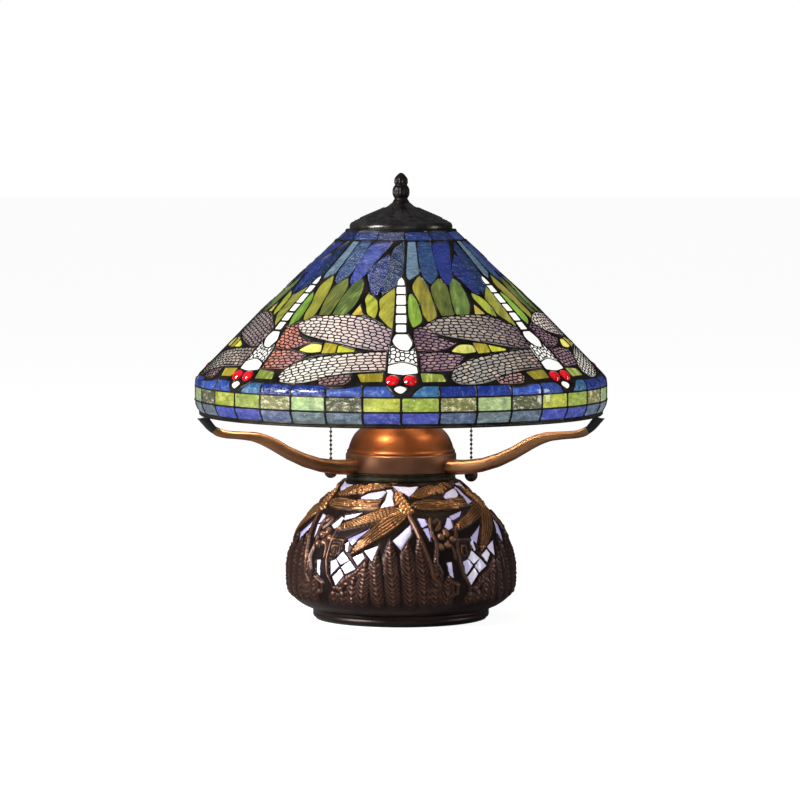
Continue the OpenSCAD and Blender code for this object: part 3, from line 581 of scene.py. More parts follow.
def mosaic_pane(batch, outline, turn, tint, seed):
    deg = np.array([p[0] for p in outline], float)
    down = np.array([p[1] for p in outline], float)
    scale = math.radians(1) * float(urn_radius_at(down.mean()))
    flat = [(d * scale, s) for d, s in outline]
    low = np.min(flat, axis=0)
    high = np.max(flat, axis=0)
    grid = np.mgrid[low[0] + mosaic_grid / 2:high[0]:mosaic_grid,
                    low[1] + mosaic_grid / 2:high[1]:mosaic_grid].reshape(2, -1)
    keep = signed_reach(grid[0], grid[1], flat) < -1.0
    points, faces = triangles(flat, grid.T[keep])
    away = signed_reach(points[:, 0], points[:, 1], flat)
    depth = 0.9 - 0.5 * np.clip(-away / 3, 0, 1)
    angle = points[:, 0] / scale + turn
    front = urn_surface(angle, points[:, 1], depth)
    back = urn_surface(angle, points[:, 1], depth + mosaic_thickness)
    shape = slab(front, back, faces)
    flow = np.stack([points[:, 0], points[:, 1], np.full(len(points), seed)], axis=1) * mm
    batch.take(shape[0], shape[1], tint, np.concatenate([flow, flow]))


mosaic = Batch()
draw = random.Random(11)
white_glass = tone(240, 232, 242)
lavender = tone(142, 138, 196)
for fold in range(urn_folds):
    for kind, group in ((0.05, lattice), (0.45, openings), (0.9, dull_openings)):
        for outline in group:
            lilac = min(1.0, max(0.0, kind + draw.uniform(-0.15, 0.4)))
            tint = [w + (v - w) * lilac for w, v in zip(white_glass[:3], lavender[:3])]
            mosaic_pane(mosaic, outline, fold * fold_angle, tint + [0.3], draw.uniform(0, 900))

mosaic_glass = Finish("mosaic_glass", {"Roughness": 0.12, "Coat Weight": 0.4,
                                       "Emission Strength": 0.46})
mosaic_flow = mosaic_glass.attribute("flow", "Vector")
cloud = mosaic_glass.steps(mosaic_glass.noise(mosaic_flow, 160.0, 3.0), 0.3, 0.7)
mosaic_tint = mosaic_glass.attribute("tint")
hazed = mosaic_glass.mix(cloud * 0.45, mosaic_tint, tone(150, 150, 205))
mosaic_glass.feed({"Base Color": hazed, "Emission Color": hazed})
mosaic_glass.bump(cloud, 0.0003)
mosaic.make("urn_mosaic", mosaic_glass, "base", "mosaic_glass", ["base_mosaic"])

# --- Fittings inside ----------------------------------------------------------------------
# Plated pipe, brass nuts and cluster, porcelain night socket and the two lamp sockets. They
# are bought-in parts, screwed together up the middle of the lamp.
brass = metal("lacquered_brass", tone(150, 110, 52), tone(196, 158, 92), 0.28, 70)
black_plastic = Finish("black_plastic", {"Roughness": 0.42})
plastic_grain = black_plastic.noise(black_plastic.place(), 1200.0, 2.0)
black_plastic.feed({"Base Color": black_plastic.mix(plastic_grain, tone(18, 18, 18),
                                                    tone(34, 34, 34))})
black_plastic.bump(plastic_grain, 0.00004)
porcelain = Finish("porcelain", {"Roughness": 0.18, "Coat Weight": 0.5})
glaze = porcelain.noise(porcelain.place(), 90.0, 3.0)
porcelain.feed({"Base Color": porcelain.mix(glaze, tone(206, 200, 186), tone(232, 228, 218))})
porcelain.bump(glaze, 0.0001)
dress(brass, "stem_nuts", "cluster_body", "cluster_arms", "riser_rod", "riser_nipple",
      "riser_nuts", "socket_caps", "socket_shells", "pull_bells", "pull_pin_left",
      "pull_pin_right", "spider")
dress(black_plastic, "cord_bushing", "wiring")
dress(porcelain, "night_socket", "socket_liners")

bulb_metal = metal("bulb_screw_metal", tone(150, 150, 146), tone(188, 188, 184), 0.25)
glow = Finish("lit_bulb_glass", {"Roughness": 0.15, "Emission Strength": 3.0})
frost = glow.noise(glow.place(), 120.0, 2.0)
warm = glow.mix(frost, tone(255, 226, 178), tone(255, 238, 206))
glow.feed({"Base Color": warm, "Emission Color": warm})
dress(bulb_metal, "bulb_screw_left", "bulb_screw_right")
dress(glow, "night_bulb", "bulb_globe_left", "bulb_globe_right")

# --- Neck and hub -------------------------------------------------------------------------
# The neck ring seats the hub on the urn. The band carries the arms, and the dome is spun
# copper: both are satin copper-bronze, lacquered.
neck_line = [(38, 141.5), (38, 137), (52.6, 137), (53.2, 137.3), (53.6, 138), (53.6, 140.4),
             (53.2, 141), (52.5, 141.4), (52.4, 142), (52.5, 142.7), (53.2, 143.1), (53.8, 143.6),
             (53.8, 144.6), (53.4, 145), (6.4, 145), (6.4, 141.5)]
neck_metal = metal("neck_patina", tone(24, 28, 22), tone(66, 62, 48), 0.42, 160,
                   grain=0.0003, metallic=0.6)
make_piece("neck_ring_turned", turned(neck_line[::-1]), neck_metal, "base", "neck_bronze",
           ["neck_ring"])

band_line = [(49, 163), (53.2, 163), (53.4, 162.4), (54.1, 161.9), (54.4, 161.2), (54.4, 146),
             (54.2, 145.4), (53.6, 145), (49, 145)]
dome_line = [(6.5, 199), (10, 198.7), (16, 197.8), (20, 196.7), (24, 195.4), (28, 193.7),
             (31, 192.2), (34, 190.6), (37, 188.7), (39.7, 186.7), (42.1, 184.5), (44, 182.6),
             (45.8, 180.5), (47.4, 178), (48.7, 175.4), (49.8, 172.7), (50.8, 169.9),
             (51.5, 167.4), (52.2, 165.9), (53.0, 165.2), (53.2, 164.4), (53.2, 163),
             (50.5, 163), (50.5, 165), (49.6, 168.5), (48.1, 172), (46.2, 175.7), (44, 179.3),
             (40.6, 183), (35.7, 187.1), (30, 190.5), (23.4, 193.5), (16, 195.8), (6.5, 197)]
copper = metal("hub_copper", tone(142, 80, 46), tone(168, 100, 60), 0.27, 26, grain=0.00002)
make_piece("hub_dome_spun", turned(dome_line), copper, "base", "copper", ["hub_dome"])
band_copper = metal("band_copper", tone(116, 80, 62), tone(148, 106, 80), 0.34, 34)
make_piece("hub_band_turned", turned(band_line), band_copper, "base", "copper", ["hub_band"])

# --- Arms ---------------------------------------------------------------------------------
# Three cast arms, screwed to the band from inside, sweep out under the shade and turn up at
# its rim. Each ends in a black rubber tip pressed on.
arm_under = [(53.5, 142.8), (62, 143), (73, 144), (91, 147), (109, 152.5), (127, 160.8),
             (145, 171), (156, 176.6), (166, 180.2), (180, 182.4), (194, 183.8), (203, 186),
             (209, 190)]
arm_over = [(53.5, 158.2), (60, 158), (73, 158.4), (91, 160.8), (109, 166.6), (125, 173.5),
            (138, 181), (150, 186), (161, 188.8), (184, 190.4), (194, 191.6), (200, 193.6),
            (205.4, 196.2)]
tip_under = [(209, 190), (213, 192.8), (217, 197), (220.6, 201), (223.2, 204.1)]
tip_over = [(205.4, 196.2), (208.6, 199.8), (211.6, 203.8), (213.4, 205.8), (219, 203.9)]
arm_root_width = 14
arm_end_width = 10
bar_steps = 200


def swept_bar(under, over, stations, sides, widths, square=2.6):
    """A bar with rounded edges between its lower and upper lines, lying along +Y."""
    _, low = even_line(under, bar_steps, 4.0)
    _, high = even_line(over, bar_steps, 4.0)
    pick = (np.linspace(0, 1, stations) * (bar_steps - 1)).astype(int)
    low = low[pick]
    high = high[pick]
    rings = []
    for k in range(stations):
        half = np.interp(low[k][0], *widths) / 2
        for step in range(sides):
            angle = 2 * math.pi * step / sides
            c = math.cos(angle)
            s = math.sin(angle)
            x = half * math.copysign(abs(c) ** (2 / square), c)
            rise = 0.5 + 0.5 * math.copysign(abs(s) ** (2 / square), s)
            y, z = low[k] + (high[k] - low[k]) * rise
            rings.append((x, y, z))
    faces = []
    for k in range(stations - 1):
        for step in range(sides):
            beside = (step + 1) % sides
            faces.append((k * sides + step, k * sides + beside,
                          (k + 1) * sides + beside, (k + 1) * sides + step))
    for k in (0, stations - 1):
        centre = len(rings)
        rings.append(tuple(np.mean(rings[k * sides:(k + 1) * sides], axis=0)))
        for step in range(sides):
            faces.append((centre, k * sides + step, k * sides + (step + 1) % sides))
    return np.array(rings), faces


def about_axis(points, degrees):
    angle = math.radians(degrees)
    turn = np.array([[math.cos(angle), math.sin(angle), 0],
                     [-math.sin(angle), math.cos(angle), 0], [0, 0, 1]])
    return points @ turn


arm_widths = ([53, 62, 76, 150, 224], [18, 16.6, arm_root_width, arm_end_width,
                                       arm_end_width - 1])
arm_copper = metal("arm_copper", tone(138, 98, 70), tone(184, 136, 98), 0.27, 30)
tip_rubber = Finish("tip_rubber", {"Roughness": 0.6})
rubber_grain = tip_rubber.noise(tip_rubber.place(), 900.0, 3.0)
tip_rubber.feed({"Base Color": tip_rubber.mix(rubber_grain, tone(16, 16, 17),
                                              tone(36, 36, 38))})
tip_rubber.bump(rubber_grain, 0.00008)
arm_points, arm_faces = swept_bar(arm_under, arm_over, 60, 28, arm_widths)
tip_points, tip_faces = swept_bar(tip_under, tip_over, 14, 24, arm_widths)
tip_solids = []
for name, turn in (("arm_left", 120), ("arm_right", -120), ("arm_rear", 0)):
    make_piece(name + "_cast", (about_axis(arm_points, turn), arm_faces), arm_copper, "base",
               "copper", [name], 50)
    tip_solids.append(about_axis(tip_points, turn))
tip_all = [tuple(i + k * len(tip_points) for i in face)
           for k in range(len(tip_solids)) for face in tip_faces]
make_piece("arm_tips_rubber", (np.concatenate(tip_solids), tip_all), tip_rubber, "base",
           "tip_rubber", ["arm_tips"], 50)

# --- Pull chains --------------------------------------------------------------------------
# Beaded chain hung from each switch: hollow beads crimped over a thin wire, one every bead
# pitch, with a turned ball knob at the end.
chain_x = 69
chain_top = 234
bead_pitch = 4.2
bead_radius = 1.5
wire_radius = 0.5
knob_radius = 6.5
chain_metal = metal("chain_metal", tone(40, 34, 28), tone(108, 92, 72), 0.35, 200)


def bead_tree():
    """Geometry Nodes: beads along a straight drop, threaded on a thin wire."""
    tree = bpy.data.node_groups.new("bead_chain", "GeometryNodeTree")
    tree.is_modifier = True
    tree.interface.new_socket("Geometry", in_out="OUTPUT", socket_type="NodeSocketGeometry")
    names = {}
    for label, kind in (("Top", "NodeSocketVector"), ("Bottom", "NodeSocketVector"),
                        ("Pitch", "NodeSocketFloat"), ("Bead radius", "NodeSocketFloat"),
                        ("Wire radius", "NodeSocketFloat"), ("Finish", "NodeSocketMaterial")):
        made = tree.interface.new_socket(label, in_out="INPUT", socket_type=kind)
        names[label] = made.identifier
    inputs = tree.nodes.new("NodeGroupInput")
    output = tree.nodes.new("NodeGroupOutput")
    line = tree.nodes.new("GeometryNodeCurvePrimitiveLine")
    points = tree.nodes.new("GeometryNodeCurveToPoints")
    points.mode = "LENGTH"
    bead = tree.nodes.new("GeometryNodeMeshUVSphere")
    bead.inputs["Segments"].default_value = 10
    bead.inputs["Rings"].default_value = 7
    place = tree.nodes.new("GeometryNodeInstanceOnPoints")
    ring = tree.nodes.new("GeometryNodeCurvePrimitiveCircle")
    ring.inputs["Resolution"].default_value = 6
    wire = tree.nodes.new("GeometryNodeCurveToMesh")
    wire.inputs["Fill Caps"].default_value = True
    join = tree.nodes.new("GeometryNodeJoinGeometry")
    real = tree.nodes.new("GeometryNodeRealizeInstances")
    paint = tree.nodes.new("GeometryNodeSetMaterial")
    for start, end in (
            (inputs.outputs["Top"], line.inputs["Start"]),
            (inputs.outputs["Bottom"], line.inputs["End"]),
            (line.outputs[0], points.inputs["Curve"]),
            (inputs.outputs["Pitch"], points.inputs["Length"]),
            (inputs.outputs["Bead radius"], bead.inputs["Radius"]),
            (points.outputs["Points"], place.inputs["Points"]),
            (bead.outputs["Mesh"], place.inputs["Instance"]),
            (inputs.outputs["Wire radius"], ring.inputs["Radius"]),
            (line.outputs[0], wire.inputs["Curve"]),
            (ring.outputs[0], wire.inputs["Profile Curve"]),
            (place.outputs[0], join.inputs[0]),
            (wire.outputs[0], join.inputs[0]),
            (join.outputs[0], real.inputs[0]),
            (real.outputs[0], paint.inputs["Geometry"]),
            (inputs.outputs["Finish"], paint.inputs["Material"]),
            (paint.outputs[0], output.inputs[0])):
        tree.links.new(start, end)
    return tree, names


def grown(tree, names, values):
    """The plain mesh that a Geometry Nodes tree makes with these inputs."""
    carrier = bpy.data.objects.new("carrier", bpy.data.meshes.new("carrier"))
    bpy.context.scene.collection.objects.link(carrier)
    modifier = carrier.modifiers.new("grow", "NODES")
    modifier.node_group = tree
    for label, value in values.items():
        modifier[names[label]] = value
    ready = carrier.evaluated_get(bpy.context.evaluated_depsgraph_get())
    mesh = bpy.data.meshes.new_from_object(ready)
    bpy.data.objects.remove(carrier)
    return mesh


knob_metal = metal("knob_metal", tone(26, 22, 19), tone(74, 60, 48), 0.3, 120, metallic=0.8)
beads, bead_inputs = bead_tree()
for side, x, low, centre in (("left", -chain_x, 152.5, 143.5), ("right", chain_x, 149, 140)):
    mesh = grown(beads, bead_inputs, {
        "Top": (x * mm, 0, (chain_top + 1.4) * mm), "Bottom": (x * mm, 0, low * mm),
        "Pitch": bead_pitch * mm, "Bead radius": bead_radius * mm,
        "Wire radius": wire_radius * mm, "Finish": chain_metal.material})
    mesh.shade_smooth()
    chain = bpy.data.objects.new("bead_chain_" + side, mesh)
    bpy.context.scene.collection.objects.link(chain)
    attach(chain, "pull_chain_" + side)
    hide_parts("chain_" + side)
    knob = [(0, centre + 9), (1.7, centre + 9), (2.0, centre + 8.2), (2.6, centre + 6.8),
            (3.3, centre + 5.7)]
    knob += [(knob_radius * math.sin(a), centre + knob_radius * math.cos(a))
             for a in np.linspace(math.radians(36), math.pi, 14)]
    knob[-1] = (0, centre - knob_radius)
    points, faces = turned(knob, columns=32)
    make_piece("ball_knob_" + side, (points + np.array([x, 0, 0]), faces), knob_metal,
               "pull_chain_" + side, "chain_metal", ["knob_" + side], 60)

# --- Shade: pattern -----------------------------------------------------------------------
# Seven equal dragonflies with leaves above and three rows of border tiles below. An outline
# holds points of [degrees round from its dragonfly, radius seen from above].
repeats = 7
repeat_angle = 360 / repeats
bend_radius = 138
bend_height = 302.6
slope_above = 43.3
slope_below = 45.7
mean_slope = 0.715
skirt_top = 198.2

crown_panes = [
    [(4.3, 56), (28.2, 56), (28.2, 62.8), (17, 63.2), (4.3, 62.8)],
    [(30, 56), (53.9, 56), (53.9, 62.8), (42, 63.2), (30, 62.8)]]
blue_leaves = [
    [(6, 65), (12, 65), (10.3, 93), (9, 97), (4.5, 102), (3.2, 98), (4, 84)],
    [(14, 67), (19, 65), (25.2, 66), (23, 80), (21.5, 95), (19, 101), (15.7, 106), (13, 101),
     (12, 94), (12.2, 84)],
    [(28.4, 67), (44, 66), (40.5, 72), (35.5, 82), (31.4, 93), (29.8, 99), (25.3, 108),
     (23.2, 102), (23, 88), (25, 74)],
    [(41.5, 78), (43.6, 80), (43.4, 95), (41.6, 109), (40, 117), (37.2, 115), (34.2, 104),
     (31.8, 94), (37, 84)],
    [(45, 76), (47.8, 70), (52, 66), (53.6, 68), (52.7, 88), (51.6, 98), (49.4, 104),
     (48.4, 109), (42.4, 117), (41.9, 109), (44, 94)]]
green_leaves = [
    [(4.3, 116), (6.6, 121), (7.7, 132), (7.7, 142), (4.5, 147), (3.2, 138), (3.4, 121)],
    [(9.8, 99), (11.6, 103), (13.6, 113), (14.2, 128), (13.9, 138), (10.4, 142), (9, 135),
     (8.6, 126), (6.4, 115), (6.2, 107)],
    [(20.8, 101), (22.3, 105), (23.4, 113), (22, 128), (21.5, 136.5), (16.6, 137), (15.9, 131),
     (15, 120), (15.5, 109)],
    [(29.4, 101), (31.6, 106), (32, 115), (30.9, 127), (28.2, 136.5), (22.9, 136), (23.2, 124),
     (25.4, 109)],
    [(33.4, 127), (35.9, 136), (31.5, 136)],
    [(35.8, 116), (38.6, 119), (40.8, 124), (41.5, 133), (41, 139), (37.9, 135), (36.4, 127),
     (35.2, 121)],
    [(48.3, 110), (48.4, 131), (48.1, 148), (46.3, 145), (42.8, 137), (42.8, 131), (41.9, 123),
     (42.9, 119)]]
tail_pieces = [
    [(0, 99.5), (1.3, 103), (1.7, 107), (-1.7, 107), (-1.3, 103)],
    [(-2, 109.2), (2, 109.2), (2, 115.4), (-2, 115.4)],
    [(-1.9, 117.4), (1.9, 117.4), (1.9, 125.8), (-1.9, 125.8)],
    [(-1.8, 127.6), (1.8, 127.6), (1.8, 134), (-1.8, 134)],
    [(-1.9, 136.4), (1.9, 136.4), (1.9, 143), (-1.9, 143)],
    [(-1.7, 145), (1.7, 145), (1.7, 151), (-1.7, 151)]]
thorax = [(-1.7, 153.5), (2, 153.5), (3.6, 161), (2.2, 167), (-0.4, 166), (-2.7, 159.5)]
bow_tie = [(-3.5, 163), (-0.6, 167.2), (2.4, 168.2), (4.3, 165), (4.8, 171), (4.8, 180),
           (1, 177), (-3.7, 179), (-3.9, 170)]
head = [(-3.7, 180.8), (0.6, 178.2), (4.5, 181.6), (4.7, 186.6), (0.6, 188), (-3.7, 186.6)]
front_wings = [
    [(-3.3, 150), (-6, 146.5), (-9.5, 142.7), (-14, 138), (-20, 137), (-28, 137.3), (-35, 139),
     (-40, 142.5), (-42, 145.5), (-41.5, 148), (-38, 152.5), (-34, 155.5), (-26, 159),
     (-20, 161.8), (-14, 165), (-8, 167), (-4, 166.3)],
    [(-4.6, 168.6), (-10, 169.2), (-18, 171), (-25, 173), (-30, 176), (-34, 180.8),
     (-36.4, 187), (-37, 191.8), (-35.4, 196), (-31.4, 196.8), (-27, 195.4), (-21.5, 191),
     (-15, 186.8), (-10, 185.4), (-4.6, 184.6)]]
rear_wings = [
    [(4.5, 149.5), (9, 145.3), (10.3, 150), (14.2, 157.2), (19, 161), (14.6, 165.8), (10, 167.8),
     (5.4, 167), (4.6, 160)],
    [(5.9, 169.4), (12, 169.2), (15, 170.2), (20, 172.6), (17.3, 180), (14.6, 184.8),
     (5.9, 185.2)],
    [(27.7, 193.2), (31.2, 190.2), (36.4, 187.7), (37.3, 192), (35.8, 196.6), (31.6, 197.4),
     (28.4, 197)]]
gap_pieces = [
    [(19.8, 163.2), (24, 163.5), (24.6, 169), (20.7, 170), (16.6, 168.4)],
    [(25, 161.4), (29.6, 163), (29.8, 169.6), (25.4, 170.4)],
    [(30.4, 163.8), (36.2, 167.6), (36, 168.6), (30.6, 169.4)],
    [(-12.4, 188.4), (-5.3, 187.2), (-5.2, 194), (-11, 194.6)],
    [(5.7, 187.2), (11.8, 188.6), (12.4, 194.2), (6, 194.4)]]
eye_degrees = (-2.4, 2.5)
eye_radius = 6.2
eye_plan_radius = 193.2


def cone_flat(outline):
    """An outline laid flat, in millimetres, as the cone unrolls."""
    flat = []
    for deg, radius in outline:
        angle = math.radians(deg) * mean_slope
        flat.append((radius / mean_slope * math.sin(angle), -radius / mean_slope * math.cos(angle)))
    return flat


def cone_surface(flat, turn, depth):
    """Points of the flat pattern on the cone, so deep below the top of the leading."""
    flat = np.asarray(flat, float)
    radius = np.hypot(flat[:, 0], flat[:, 1]) * mean_slope
    angle = np.arctan2(flat[:, 0], -flat[:, 1]) / mean_slope + math.radians(turn)
    blend = np.clip((radius - bend_radius + 6) / 12, 0, 1)
    slope = np.radians(slope_above + (slope_below - slope_above) * blend)
    height = np.where(radius < bend_radius,
                      bend_height + (bend_radius - radius) * math.tan(math.radians(slope_above)),
                      bend_height - (radius - bend_radius) * math.tan(math.radians(slope_below)))
    radius = radius - depth * np.sin(slope)
    height = height - depth * np.cos(slope)
    return np.stack([radius * np.sin(angle), -radius * np.cos(angle), height], axis=1)


skirt_points = [(196, cone_surface([(0, -196 / mean_slope)], 0, 0)[0][2])]
skirt_points += [(201.4, 237.6), (202.6, 235.8), (203, 233.6), (203, 224), (203, 214.4),
                 (202.3, 211.4), (200.6, 208), (197.8, 202.7)]
skirt_run, skirt_line = even_line(skirt_points, 60, 1.2)
skirt_run = skirt_run - np.interp(skirt_top, skirt_line[:12, 0], skirt_run[:12])
skirt_scale = math.radians(1) * 201


def skirt_surface(flat, turn, depth):
    """Points of the skirt's flat pattern, [mm round, mm down from its top], on the skirt."""
    flat = np.asarray(flat, float)
    down = -flat[:, 1]
    run = np.gradient(skirt_line, axis=0)
    run /= np.linalg.norm(run, axis=1)[:, None]
    radius = np.interp(down, skirt_run, skirt_line[:, 0])
    height = np.interp(down, skirt_run, skirt_line[:, 1])
    radius = radius + np.interp(down, skirt_run, run[:, 1]) * depth
    height = height - np.interp(down, skirt_run, run[:, 0]) * depth
    angle = np.radians(flat[:, 0] / skirt_scale + turn)
    return np.stack([radius * np.sin(angle), -radius * np.cos(angle), height], axis=1)


def sharp_corner(before, here, after):
    ax, ay = before[0] - here[0], before[1] - here[1]
    bx, by = after[0] - here[0], after[1] - here[1]
    return (ax * bx + ay * by) / (math.hypot(ax, ay) * math.hypot(bx, by)) > -0.55


def rounded(flat, passes=2):
    """The outline curved through its points, with its sharp corners kept and just eased."""
    corners = [sharp_corner(flat[k - 1], here, flat[(k + 1) % len(flat)])
               for k, here in enumerate(flat)]
    for _ in range(passes):
        made = []
        kinds = []
        count = len(flat)
        for k in range(count):
            here, after = flat[k], flat[(k + 1) % count]
            before = here if corners[k] else flat[k - 1]
            beyond = after if corners[(k + 1) % count] else flat[(k + 2) % count]
            made.append(here)
            kinds.append(corners[k])
            made.append(tuple((9 * (here[i] + after[i]) - before[i] - beyond[i]) / 16
                              for i in (0, 1)))
            kinds.append(False)
        flat, corners = made, kinds
    eased = []
    for k, here in enumerate(flat):
        if not corners[k]:
            eased.append(here)
            continue
        for other in (flat[k - 1], flat[(k + 1) % len(flat)]):
            dx, dy = other[0] - here[0], other[1] - here[1]
            cut = min(0.5, 0.4 * math.hypot(dx, dy)) / math.hypot(dx, dy)
            eased.append((here[0] + dx * cut, here[1] + dy * cut))
    return eased


# --- Shade: glass -------------------------------------------------------------------------
# Streaky and opalescent sheet glass, cut to the pattern and edged with copper foil. Each
# pane has its own tint, and its streaks run along it.
glass_depth = 1.0
glass_thickness = 2.0
glass_tuck = 0.45
pane_ease = 0.3
far_angle = 26


def grown_outline(flat, amount):
    """The outline moved out by an amount, as glass is under its leading."""
    flat = anticlockwise(flat)
    made = []
    for k, here in enumerate(flat):
        before = flat[k - 1]
        after = flat[(k + 1) % len(flat)]
        dx, dy = after[0] - before[0], after[1] - before[1]
        length = math.hypot(dx, dy) or 1.0
        made.append((here[0] + dy / length * amount, here[1] - dx / length * amount))
    return made


def pane_edge(flat):
    """The visible edge of a pane, where its leading starts."""
    return grown_outline(rounded(flat), pane_ease)


def glass_pane(batch, flat, surface, turn, tint, seed, spacing=5.0, far=None):
    corners = grown_outline(pane_edge(flat), glass_tuck)
    low = np.min(corners, axis=0)
    high = np.max(corners, axis=0)
    grid = np.mgrid[low[0] + spacing / 2:high[0]:spacing,
                    low[1] + spacing / 2:high[1]:spacing].reshape(2, -1)
    if grid.shape[1]:
        grid = grid[:, signed_reach(grid[0], grid[1], corners) < -1.2]
    points, faces = triangles(corners, grid.T)
    away = -signed_reach(points[:, 0], points[:, 1], corners)
    depth = glass_depth - 0.35 * np.clip(away / 4, 0, 1)
    shape = slab(surface(points, turn, depth), surface(points, turn, depth + glass_thickness),
                 faces)
    local = points - points.mean(axis=0)
    flow = np.stack([local[:, 0], local[:, 1], np.full(len(points), seed)], axis=1) * mm
    if far is not None:
        angle = np.degrees(np.arctan2(points[:, 0], -points[:, 1])) / mean_slope
        part = np.clip(np.abs(angle) / far_angle, 0, 1)[:, None]
        tint = np.array(tint) * (1 - part) + np.array(far) * part
        tint = np.concatenate([tint, tint])
    batch.take(shape[0], shape[1], tint, np.concatenate([flow, flow]))


def streaky_glass(name, streak, contrast, strength=1.0, ripple=0.0005, pale=(190, 200, 215)):
    """Glass that glows through its own colour, with streaks along each pane's flow."""
    glass = Finish(name, {"Roughness": 0.09, "Coat Weight": 0.6, "Emission Strength": strength})
    flow = glass.attribute("flow", "Vector")
    tint = glass.attribute("tint")
    mottle = glass.attribute("tint", "Alpha")
    long_flow = glass.add("ShaderNodeVectorMath", {"operation": "MULTIPLY"},
                          [flow, (1.0, streak, 1.0)])
    broad = glass.steps(glass.noise(long_flow, 150.0, 3.0, 0.55), 0.28, 0.72)
    fine = glass.steps(glass.noise(long_flow, 520.0, 4.0, 0.6), 0.3, 0.7)
    cloud = glass.steps(glass.noise(flow, 70.0, 2.0), 0.35, 0.65)
    light = broad * 0.5 + fine * 0.25 + cloud * 0.25
    bright = glass.mix(1.0, tint, (1.5, 1.5, 1.35, 1.0), "MULTIPLY")
    dark = glass.mix(1.0, tint, (0.2, 0.22, 0.32, 1.0), "MULTIPLY")
    level = glass.mix(contrast, glass.mix(0.5, dark, bright), glass.mix(light, dark, bright))
    wisp = glass.steps(broad * 0.6 + fine * 0.4, 0.56, 0.74) * mottle
    colour = glass.mix(wisp, level, tone(*pale))
    glass.feed({"Base Color": glass.mix(1.0, colour, (0.25, 0.25, 0.25, 1), "MULTIPLY"),
                "Emission Color": colour})
    glass.bump(fine * 0.6 + cloud, ripple, 0.6)
    return glass


def vary(colour, amount, draw):
    """The colour a little lighter or darker, as cut from another part of the sheet."""
    level = 1 + draw.uniform(-amount, amount)
    return [c * level * (1 + draw.uniform(-amount, amount) * 0.4) for c in colour[:3]]


def glass_piece(name, outlines, colours, mottles, finish, slot, node, flatten=cone_flat,
                surface=cone_surface, seed=1, change=0.22, spacing=5.0, fars=None,
                warm_repeats=(), warm=None, painted_shade_repeats=None):
    """One glass node of the shade: every outline, in every repeat. fars are the colours that
    the panes fade to away from the dragonfly, warm replaces colours in some repeats, and the
    last argument darkens some repeats with painted shade."""
    batch = Batch()
    draw = random.Random(seed)
    for k in range(repeats):
        for number, (outline, colour, mottle) in enumerate(zip(outlines, colours, mottles)):
            if k in warm_repeats:
                colour = warm
            tint = vary(tone(*colour), 0.0 if k == 0 else change, draw)
            far = list(tone(*fars[number])[:3]) if fars else tint
            shade = painted_shade_repeats.get(k, 1.0) if painted_shade_repeats else 1.0
            tint = [part * shade for part in tint]
            far = [part * shade for part in far] + [mottle]
            glass_pane(batch, flatten(outline), surface, k * repeat_angle, tint + [mottle],
                       draw.uniform(0, 900), spacing, far)
    return batch.make(name, finish, "shade", slot, [node])


blue_glass = streaky_glass("cobalt_glass", 3.0, 1.0, 0.6, 0.0022, (110, 140, 190))
green_glass = streaky_glass("leaf_green_glass", 0.16, 0.95, 0.8, 0.0004, (190, 200, 110))
glass_piece("crown_panes", crown_panes, [(36, 58, 128), (24, 42, 106)], [0.3, 0.2],
            blue_glass, "crown_blue", "crown_glass", seed=3)
glass_piece("blue_leaf_panes", blue_leaves,
            [(126, 156, 184), (50, 84, 138), (40, 60, 156), (28, 50, 132), (20, 50, 104)],
            [0.1, 0.3, 0.1, 0.4, 0.25], blue_glass, "leaf_blue", "leaf_blue", seed=4)
glass_piece("green_leaf_panes", green_leaves,
            [(146, 184, 66), (160, 150, 58), (108, 118, 52), (112, 138, 66), (235, 206, 92),
             (186, 194, 60), (166, 164, 62)],
            [0.2, 0.1, 0.1, 0.4, 0.1, 0.2, 0.2], green_glass, "leaf_green", "leaf_green",
            seed=5)

opal_glass = streaky_glass("white_opal_glass", 0.6, 0.12, 1.25, 0.0002, (255, 255, 255))
opal_white = (255, 252, 246)
glass_piece("tail_panes", tail_pieces, [opal_white] * len(tail_pieces),
            [0.2] * len(tail_pieces), opal_glass, "white_opal", "tail_glass", seed=6,
            change=0.04)
chin = [(-0.4, 0.2), (1.0, 2.0), (1.3, 4.0), (0.3, 7.8), (-0.7, 7.6), (-1.7, 4.2), (-1.6, 2.0)]


def skirt_flat(outline):
    return [(deg * skirt_scale, -down) for deg, down in outline]


bodies = Batch()
body_white = [0.97, 0.95, 0.92, 0.2]
draw = random.Random(7)
for k in range(repeats):
    for outline in (thorax, bow_tie, head):
        glass_pane(bodies, cone_flat(outline), cone_surface, k * repeat_angle, body_white,
                   draw.uniform(0, 900))
    glass_pane(bodies, skirt_flat(chin), skirt_surface, k * repeat_angle, body_white,
               draw.uniform(0, 900))
bodies.make("body_panes", opal_glass, "shade", "white_opal", ["body_glass"])

wing_glass = streaky_glass("wing_opal_glass", 0.8, 0.45, 1.0, 0.0003, (255, 214, 184))
# painted shade: the front wings of the repeat right of the front are darkened for the side turned
# from the light, and three more repeats are darkened as well
glass_piece("front_wing_panes", front_wings, [(168, 138, 158), (226, 190, 184)], [0.3, 0.5],
            wing_glass, "wing_opal", "wing_front", seed=8, change=0.12,
            fars=[(255, 236, 228), (255, 250, 240)],
            painted_shade_repeats={1: 0.42, 3: 0.6, 5: 0.5, 6: 0.5})
glass_piece("rear_wing_panes", rear_wings, [(118, 86, 104), (128, 88, 104), (150, 116, 118)],
            [0.3, 0.3, 0.4], wing_glass, "wing_mauve", "wing_behind", seed=9, change=0.1,
            fars=[(170, 140, 158), (178, 150, 166), (160, 124, 126)],
            warm_repeats=(2, 6), warm=(232, 128, 84))
gap_glass = streaky_glass("gap_yellow_glass", 0.3, 0.7, 1.05, 0.0004, (236, 232, 130))
glass_piece("gap_panes", gap_pieces,
            [(225, 222, 110), (170, 152, 40), (205, 205, 56), (158, 140, 36), (142, 156, 66)],
            [0.5, 0.3, 0.4, 0.2, 0.4], gap_glass, "gap_yellow", "gap_glass", seed=10)

